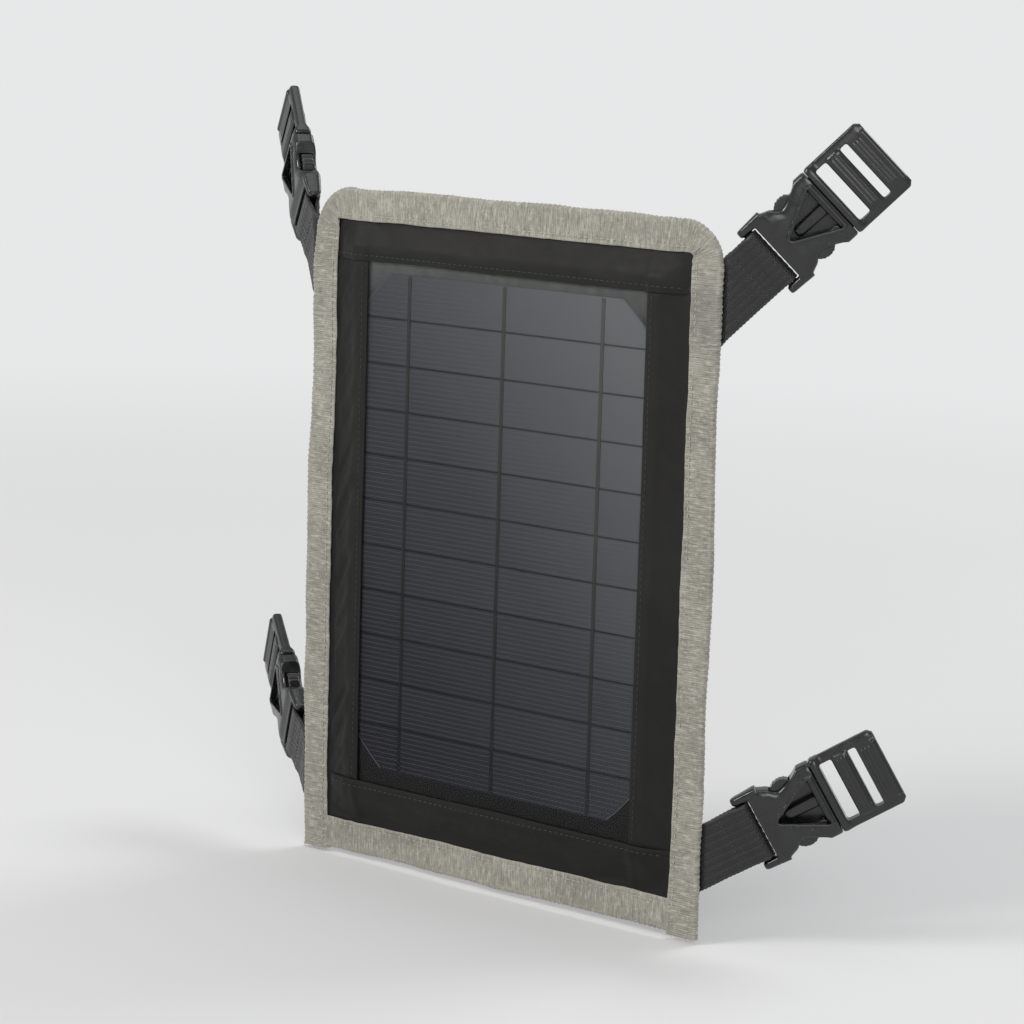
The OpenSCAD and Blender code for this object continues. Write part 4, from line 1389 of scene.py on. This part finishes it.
MOUTH = 32.5              # bar to the socket's mouth
PLUG = MOUTH + 0.3        # where the plug's shoulder starts
PLUG_L = 29.0             # plug outside the socket
BODY_W = 17.0             # half width
BODY_T = 5.2              # half thickness
CAVITY_W, CAVITY_T = 13.5, 3.2
WAIST = 18.5              # middle of the scallops


def loft(stations, count=28, power=4.0):
    """Solid through superellipses: stations are (along, half width, half thickness, depth)."""
    angle = np.linspace(0, 2 * PI, count, endpoint=False)
    cos, sin = np.cos(angle), np.sin(angle)
    wide = np.sign(cos) * np.abs(cos) ** (2 / power)
    deep = np.sign(sin) * np.abs(sin) ** (2 / power)
    verts = []
    for along, half_w, half_t, depth in stations:
        for i in range(count):
            verts.append((along, depth + deep[i] * half_t, wide[i] * half_w))
    obj = new_obj("part", verts, tube_faces(len(stations), count))
    recalc(obj)
    return obj


def prism(plan, depth0, depth1):
    """Solid from a plan of (along, across) points between two depths."""
    n = len(plan)
    verts = [(u, depth0, v) for u, v in plan] + [(u, depth1, v) for u, v in plan]
    faces = [tuple(range(n)), tuple(range(2 * n - 1, n - 1, -1))]
    for i in range(n):
        j = (i + 1) % n
        faces.append((i, i + n, j + n, j))
    obj = new_obj("part", verts, faces)
    recalc(obj)
    return obj


def rounded(start, end, half, radius, count=6):
    """Plan of a rectangle with rounded corners."""
    plan = []
    for u, v, turn in ((end - radius, half - radius, 0), (start + radius, half - radius, 90),
                       (start + radius, -half + radius, 180), (end - radius, -half + radius, 270)):
        for i in range(count + 1):
            angle = math.radians(turn + 90 * i / count)
            plan.append((u + radius * math.cos(angle), v + radius * math.sin(angle)))
    return plan


def rod(start, end, radius, count=24):
    start, end = Vector(start), Vector(end)
    way = (end - start).normalized()
    first = way.orthogonal().normalized()
    second = way.cross(first)
    verts = []
    for centre in (start, end):
        for i in range(count):
            angle = 2 * PI * i / count
            verts.append(tuple(
                centre + (first * math.cos(angle) + second * math.sin(angle)) * radius))
    faces = [(i, (i + 1) % count, count + (i + 1) % count, count + i) for i in range(count)]
    faces += [tuple(range(count - 1, -1, -1)), tuple(range(count, 2 * count))]
    obj = new_obj("part", verts, faces)
    recalc(obj)
    return obj


def cut(obj, tools):
    for tool in tools:
        boolean = obj.modifiers.new("b", "BOOLEAN")
        boolean.operation = "DIFFERENCE"
        boolean.object = tool
        boolean.solver = "EXACT"
    apply_mods(obj)
    for tool in tools:
        bpy.data.objects.remove(tool, do_unlink=True)


def mould(parts, voxel, smooth, ratio):
    """Joins and fuses the parts and rounds every edge, as a moulding has."""
    verts, faces, first = [], [], 0
    for part in parts:
        points = coords(part)
        verts.append(points)
        for polygon in part.data.polygons:
            faces.append(tuple(v + first for v in polygon.vertices))
        first += len(points)
        bpy.data.objects.remove(part, do_unlink=True)
    obj = new_obj("moulding", np.vstack(verts), faces)
    remesh = obj.modifiers.new("r", "REMESH")
    remesh.mode = "VOXEL"
    remesh.voxel_size = voxel * 0.001
    remesh.adaptivity = 0
    smoothing = obj.modifiers.new("s", "SMOOTH")
    smoothing.factor = 0.5
    smoothing.iterations = smooth
    decimate = obj.modifiers.new("d", "DECIMATE")
    decimate.ratio = ratio
    apply_mods(obj)
    return obj


def socket_half_width(along):
    """Wide at the bar, waisted at the side windows, wide at the mouth."""
    waist = 4.9 * math.exp(-((along - WAIST) / 4.8) ** 4)
    neck = 2.3 * ease(5.5, 13.0, along) * (1 - ease(15.5, 24.5, along))
    return BODY_W - 0.15 - waist * 0.62 - neck - 0.30 * ease(22, 26, along)


# three-sided window in the front face, and the outline of its rim: (along, across)
WINDOW = [(11.4, -0.9), (MOUTH - 3.0, -10.4), (MOUTH - 2.2, -9.6), (MOUTH - 2.2, 9.6),
          (MOUTH - 3.0, 10.4), (11.4, 0.9), (10.9, 0)]
RIM = [(9.9, -1.3), (MOUTH - 3.4, -11.7), (MOUTH - 1.1, -10.9), (MOUTH - 1.1, 10.9),
       (MOUTH - 3.4, 11.7), (9.9, 1.3), (9.2, 0)]
# horns that carry the bar: along, half width, half thickness, depth
HORN = [(-3.1, 1.2, 1.3, 0), (-2.6, 1.6, 2.2, 0), (-1.4, 1.75, 3.0, 0), (1.0, 1.85, 3.4, 0),
        (3.5, 1.95, 3.6, 0), (6.0, 2.1, 3.9, 0), (8.6, 2.2, 4.1, 0)]


def socket_mesh():
    stations = []
    for along in np.linspace(3.85, MOUTH, 46):
        half_t = BODY_T * (0.70 + 0.30 * ease(3.85, 10.0, along))
        half_t = half_t - 0.15 * ease(MOUTH - 1.2, MOUTH, along)
        half_w = socket_half_width(along) - 0.4 * ease(MOUTH - 0.8, MOUTH, along)
        stations.append((along, half_w, half_t, 0.0))
    body = loft(stations, 40, 5.5)
    cavity = prism([(8.3, -CAVITY_W), (MOUTH + 6, -CAVITY_W), (MOUTH + 6, CAVITY_W),
                    (8.3, CAVITY_W)], -CAVITY_T, CAVITY_T)
    window = prism(WINDOW, -BODY_T - 2, -CAVITY_T + 0.4)
    # scooped shoulders
    scoops = [rod((WAIST, -12, side * (BODY_W + 12 - 4.4)), (WAIST, 12, side * (BODY_W + 12 - 4.4)),
                  12, count=64) for side in (-1, 1)]
    # shallow dish in the back face
    dish = loft([(along, 7.5 * math.sin(math.acos((along - 20) / 9.4)) + 0.02, 1.0, BODY_T + 0.55)
                 for along in np.linspace(10.7, 29.3, 20)], 28, 2.4)
    cut(body, [cavity, window, dish] + scoops)
    parts = [body]
    for side in (-1, 1):
        horn = loft(HORN, 24, 3.2)
        points = coords(horn)
        points[:, 2] += side * 14.95
        set_coords(horn, points)
        parts.append(horn)
    parts.append(rod((0, 0, -15), (0, 0, 15), BAR_R, count=40))
    rim = prism(RIM, -BODY_T - 0.55, -BODY_T + 0.9)
    cut(rim, [prism(WINDOW, -BODY_T - 3, -BODY_T + 3)])
    parts.append(rim)
    return mould(parts, voxel=0.30, smooth=4, ratio=0.42)


def plug_mesh():
    slot_w = WEB_W / 2 + 0.7
    end = PLUG + PLUG_L
    stations = []
    for along in np.linspace(PLUG, PLUG + PLUG_L, 50):
        half_w = (BODY_W - 0.1 - 1.6 * ease(end - 2.6, end, along) ** 2
                  - 0.5 * ease(PLUG + 1.2, PLUG, along))
        half_t = (2.55 + 1.7 * (1 - ease(PLUG + 2.2, PLUG + 5.2, along))
                  - 0.5 * ease(end - 3, end, along))
        stations.append((along, half_w, half_t, 0))
    body = loft(stations, 40, 6)
    cut(body, [prism(rounded(PLUG + start, PLUG + stop, slot_w, 0.9), -9, 9)
               for start, stop in ((3.4, 9.0), (16.4, 20.0))])
    parts = [body]

    def cross_rod(along, depth, half, radius, count):
        parts.append(rod((along, depth, -half), (along, depth, half), radius, count))

    # rounded middle bar with grip ridges, and the end bar's turned lip
    parts.append(loft([(PLUG + along, slot_w + 0.6, half_t, 0) for along, half_t in (
        (9.0, 2.0), (9.5, 2.9), (11.0, 3.3), (14.5, 3.3), (15.9, 2.9), (16.4, 2.0))], 32, 12))
    for along in (11.0, 12.7, 14.4):
        cross_rod(PLUG + along, -3.1, slot_w - 1.5, 0.45, 12)
    cross_rod(PLUG + PLUG_L - 1.7, -1.6, slot_w - 0.5, 1.7, 24)
    for along in (21.6, 23.2, 24.8):
        cross_rod(PLUG + along, -2.45, slot_w - 2.5, 0.4, 12)
    # block that fills the mouth, and the middle guide
    parts.append(loft([(PLUG - 4.0, CAVITY_W - 0.9, 2.5, 0), (PLUG - 3.6, CAVITY_W - 0.45, 2.95, 0),
                       (PLUG + 1.0, CAVITY_W - 0.45, 2.95, 0)], 32, 8))
    parts.append(loft([(14.0, 1.0, 0.7, 0), (14.5, 1.8, 1.1, 0), (16, 2.35, 1.45, 0),
                       (PLUG - 3, 2.5, 1.5, 0)], 24, 4))
    return mould(parts, voxel=0.30, smooth=4, ratio=0.42)


def arm_mesh():
    root, arm_w, head = MOUTH - 5.3, 9.2, WAIST
    plan = [(root + 0.6, arm_w + 1.1), (root - 3, arm_w + 1.4), (head + 4.4, 12.8),
            (head + 3.7, 13.9), (head + 2.3, 14.8), (head, 15.25), (head - 2.3, 14.8),
            (head - 3.9, 13.9), (head - 4.9, 12.9), (head - 8.3, 11.4),
            (head - 9.3, arm_w - 0.2), (head - 8, arm_w - 1.8), (root - 9, arm_w - 1.3),
            (root + 0.6, arm_w - 1.1)]
    parts = [prism(plan, -2.45, 2.45),
             rod((root, -2.45, arm_w), (root, 2.45, arm_w), 1.35, count=32)]
    # grip ridges on the head
    for k in (-2.4, -0.8, 0.8, 2.4):
        across = 15.25 - 0.075 * k * k
        parts.append(rod((head + k, -2.0, across - 0.12), (head + k, 2.0, across - 0.12),
                         0.34, count=10))
    return mould(parts, voxel=0.22, smooth=3, ratio=0.5)


def place(source, part, name, mirror=False):
    """Puts a copy of a moulding on a tab; mirror turns it over across the webbing."""
    points = coords(source)
    if mirror:
        points[:, 2] *= -1
    bent = np.array(TABS[name].bent)
    mesh = source.data.copy()
    mesh.name = f"buckle_{part}_{name}"
    obj = bpy.data.objects.new(mesh.name, mesh)
    bpy.context.scene.collection.objects.link(obj)
    if (np.linalg.det(bent[:3, :3]) < 0) != mirror:
        mesh.flip_normals()
    set_coords(obj, points @ bent[:3, :3].T + bent[:3, 3])
    mesh.materials.clear()
    mesh.materials.append(MAT["acetal"])
    mesh.shade_smooth()
    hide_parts(f"{part}_{name}")
    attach(obj, f"{part}_body_{name}")


mouldings = socket, plug, arm = socket_mesh(), plug_mesh(), arm_mesh()
for source in mouldings:
    points = coords(source)
    points[:, 0] += TABS["lower_right"].bar
    set_coords(source, points)
for name in TABS:
    place(socket, "socket", name)
    place(plug, "plug", name)
    place(arm, "arm_in", name, mirror=True)
    place(arm, "arm_out", name)
for source in mouldings:
    bpy.data.objects.remove(source, do_unlink=True)

# ---------------------------------------------------------------- regulator box


def softened(node, name, material, width, segments=3, body="panel"):
    """A copy of a CAD node with bevelled edges."""
    mesh = frame["nodes"][node].data.copy()
    mesh.name = name
    bm = bmesh.new()
    bm.from_mesh(mesh)
    bmesh.ops.remove_doubles(bm, verts=bm.verts, dist=1e-6)
    bmesh.ops.dissolve_limit(bm, angle_limit=math.radians(2), verts=bm.verts, edges=bm.edges)
    bm.to_mesh(mesh)
    bm.free()
    obj = bpy.data.objects.new(name, mesh)
    bpy.context.scene.collection.objects.link(obj)
    bevel = obj.modifiers.new("b", "BEVEL")
    bevel.width = width * 0.001
    bevel.segments = segments
    bevel.limit_method = "ANGLE"
    bevel.angle_limit = math.radians(35)
    bevel.use_clamp_overlap = True
    apply_mods(obj)
    obj.data.materials.clear()
    obj.data.materials.append(MAT[material])
    obj.data.shade_smooth()
    obj.data.set_sharp_from_angle(angle=math.radians(40))
    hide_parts(node)
    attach(obj, body)


softened("reg_box_lid", "regulator_lid", "abs", width=0.5)
softened("reg_box_base", "regulator_case", "abs", width=0.3)
softened("port_flap", "dust_flap", "rubber", width=0.3, body="port_flap_body")
softened("lid_screws", "lid_screw_heads", "steel", width=0.12, segments=2)
softened("usb_socket", "usb_shell", "tin", width=0.10, segments=2)

# ---------------------------------------------------------------- stage, light and camera

scene = bpy.context.scene
BACKDROP = (0.80, 0.805, 0.81)


def stage_floor():
    """Plain pale floor, evenly bright out to the horizon."""
    low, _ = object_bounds()
    floor_z = min(low.z, cad_lo.z) * 1000 - 0.4
    n = 64
    radii = [400.0, 900.0, 1800.0, 4000.0, 12000.0, 60000.0]
    verts = [(0, 0, floor_z)]
    for radius in radii:
        verts += [(radius * math.cos(2 * PI * i / n), radius * math.sin(2 * PI * i / n), floor_z)
                  for i in range(n)]
    faces = []
    for i in range(n):
        j = (i + 1) % n
        faces.append((0, 1 + i, 1 + j))
        for k in range(len(radii) - 1):
            a, b = 1 + k * n, 1 + (k + 1) * n
            faces.append((a + i, b + i, b + j, a + j))
    mat = Mat("floor")
    colour = mat.mottle((0.70, 0.70, 0.70), (0.73, 0.73, 0.73), (0.3, 0.7),
                        scale=0.0012, detail=2)
    near = mat.principled(color=colour, rough=0.8, spec=0.1)
    far = mat.node("Emission", {0: BACKDROP, 1: 1.0}).outputs[0]
    away = mat.node("VectorMath", {0: mat.pos}, operation="LENGTH").outputs["Value"]
    fade = mat.remap(away, (450.0, 1900.0), smooth=True)
    material = mat.surface(mat.mix_shader(fade, near, far))
    new_obj("floor", verts, faces, material)


def studio_world():
    """Soft even light; the camera itself sees the backdrop's tone."""
    world = bpy.data.worlds.new("studio")
    scene.world = world
    world.use_nodes = True
    nodes, links = world.node_tree.nodes, world.node_tree.links
    light = nodes["Background"]
    light.inputs[0].default_value = (0.97, 0.98, 1.0, 1)
    light.inputs[1].default_value = 0.52
    seen = nodes.new("ShaderNodeBackground")
    seen.inputs[0].default_value = (*BACKDROP, 1)
    seen.inputs[1].default_value = 1.0
    path = nodes.new("ShaderNodeLightPath")
    mix = nodes.new("ShaderNodeMixShader")
    links.new(path.outputs["Is Camera Ray"], mix.inputs[0])
    links.new(light.outputs[0], mix.inputs[1])
    links.new(seen.outputs[0], mix.inputs[2])
    links.new(mix.outputs[0], nodes["World Output"].inputs[0])


def area(name, at, size, power, colour=(1, 1, 1)):
    """Rectangular light aimed at the origin; place and size in metres, power in watts."""
    light = bpy.data.lights.new(name, "AREA")
    light.shape = "RECTANGLE"
    light.size, light.size_y = size
    light.energy = power
    light.color = colour
    obj = bpy.data.objects.new(name, light)
    scene.collection.objects.link(obj)
    obj.location = at
    obj.rotation_mode = "QUATERNION"
    obj.rotation_quaternion = (Vector((0, 0, 0)) - Vector(at)).to_track_quat("-Z", "Y")


def add_camera():
    data = bpy.data.cameras.new("camera")
    camera = bpy.data.objects.new("camera", data)
    scene.collection.objects.link(camera)
    scene.camera = camera
    turn, height, roll = math.radians(38.3), math.radians(9.7), math.radians(1.7)
    distance = 1.42
    aim = Vector((0.006, -0.012, 0.017))
    away = Vector((math.sin(turn) * math.cos(height), -math.cos(turn) * math.cos(height),
                   math.sin(height)))
    camera.location = aim + away * distance
    camera.rotation_mode = "QUATERNION"
    level = (-away).to_track_quat("-Z", "Y").to_matrix().to_4x4()
    camera.rotation_quaternion = (Matrix.Rotation(roll, 4, away) @ level).to_quaternion()
    data.sensor_width = 36
    data.lens = 118
    data.clip_start, data.clip_end = 0.01, 100


stage_floor()
studio_world()
area("key", at=(-1.1, -2.0, 1.6), size=(0.9, 0.9), power=31, colour=(1.0, 0.985, 0.955))
area("fill", at=(1.7, -1.7, 1.0), size=(1.2, 1.2), power=17, colour=(0.99, 0.99, 0.98))
area("rim", at=(0.6, 2.0, 1.6), size=(1.3, 1.0), power=20)
area("top", at=(0.0, -0.1, 2.3), size=(1.4, 1.4), power=8)
add_camera()
scene.view_settings.view_transform = "Standard"
scene.view_settings.look = "None"
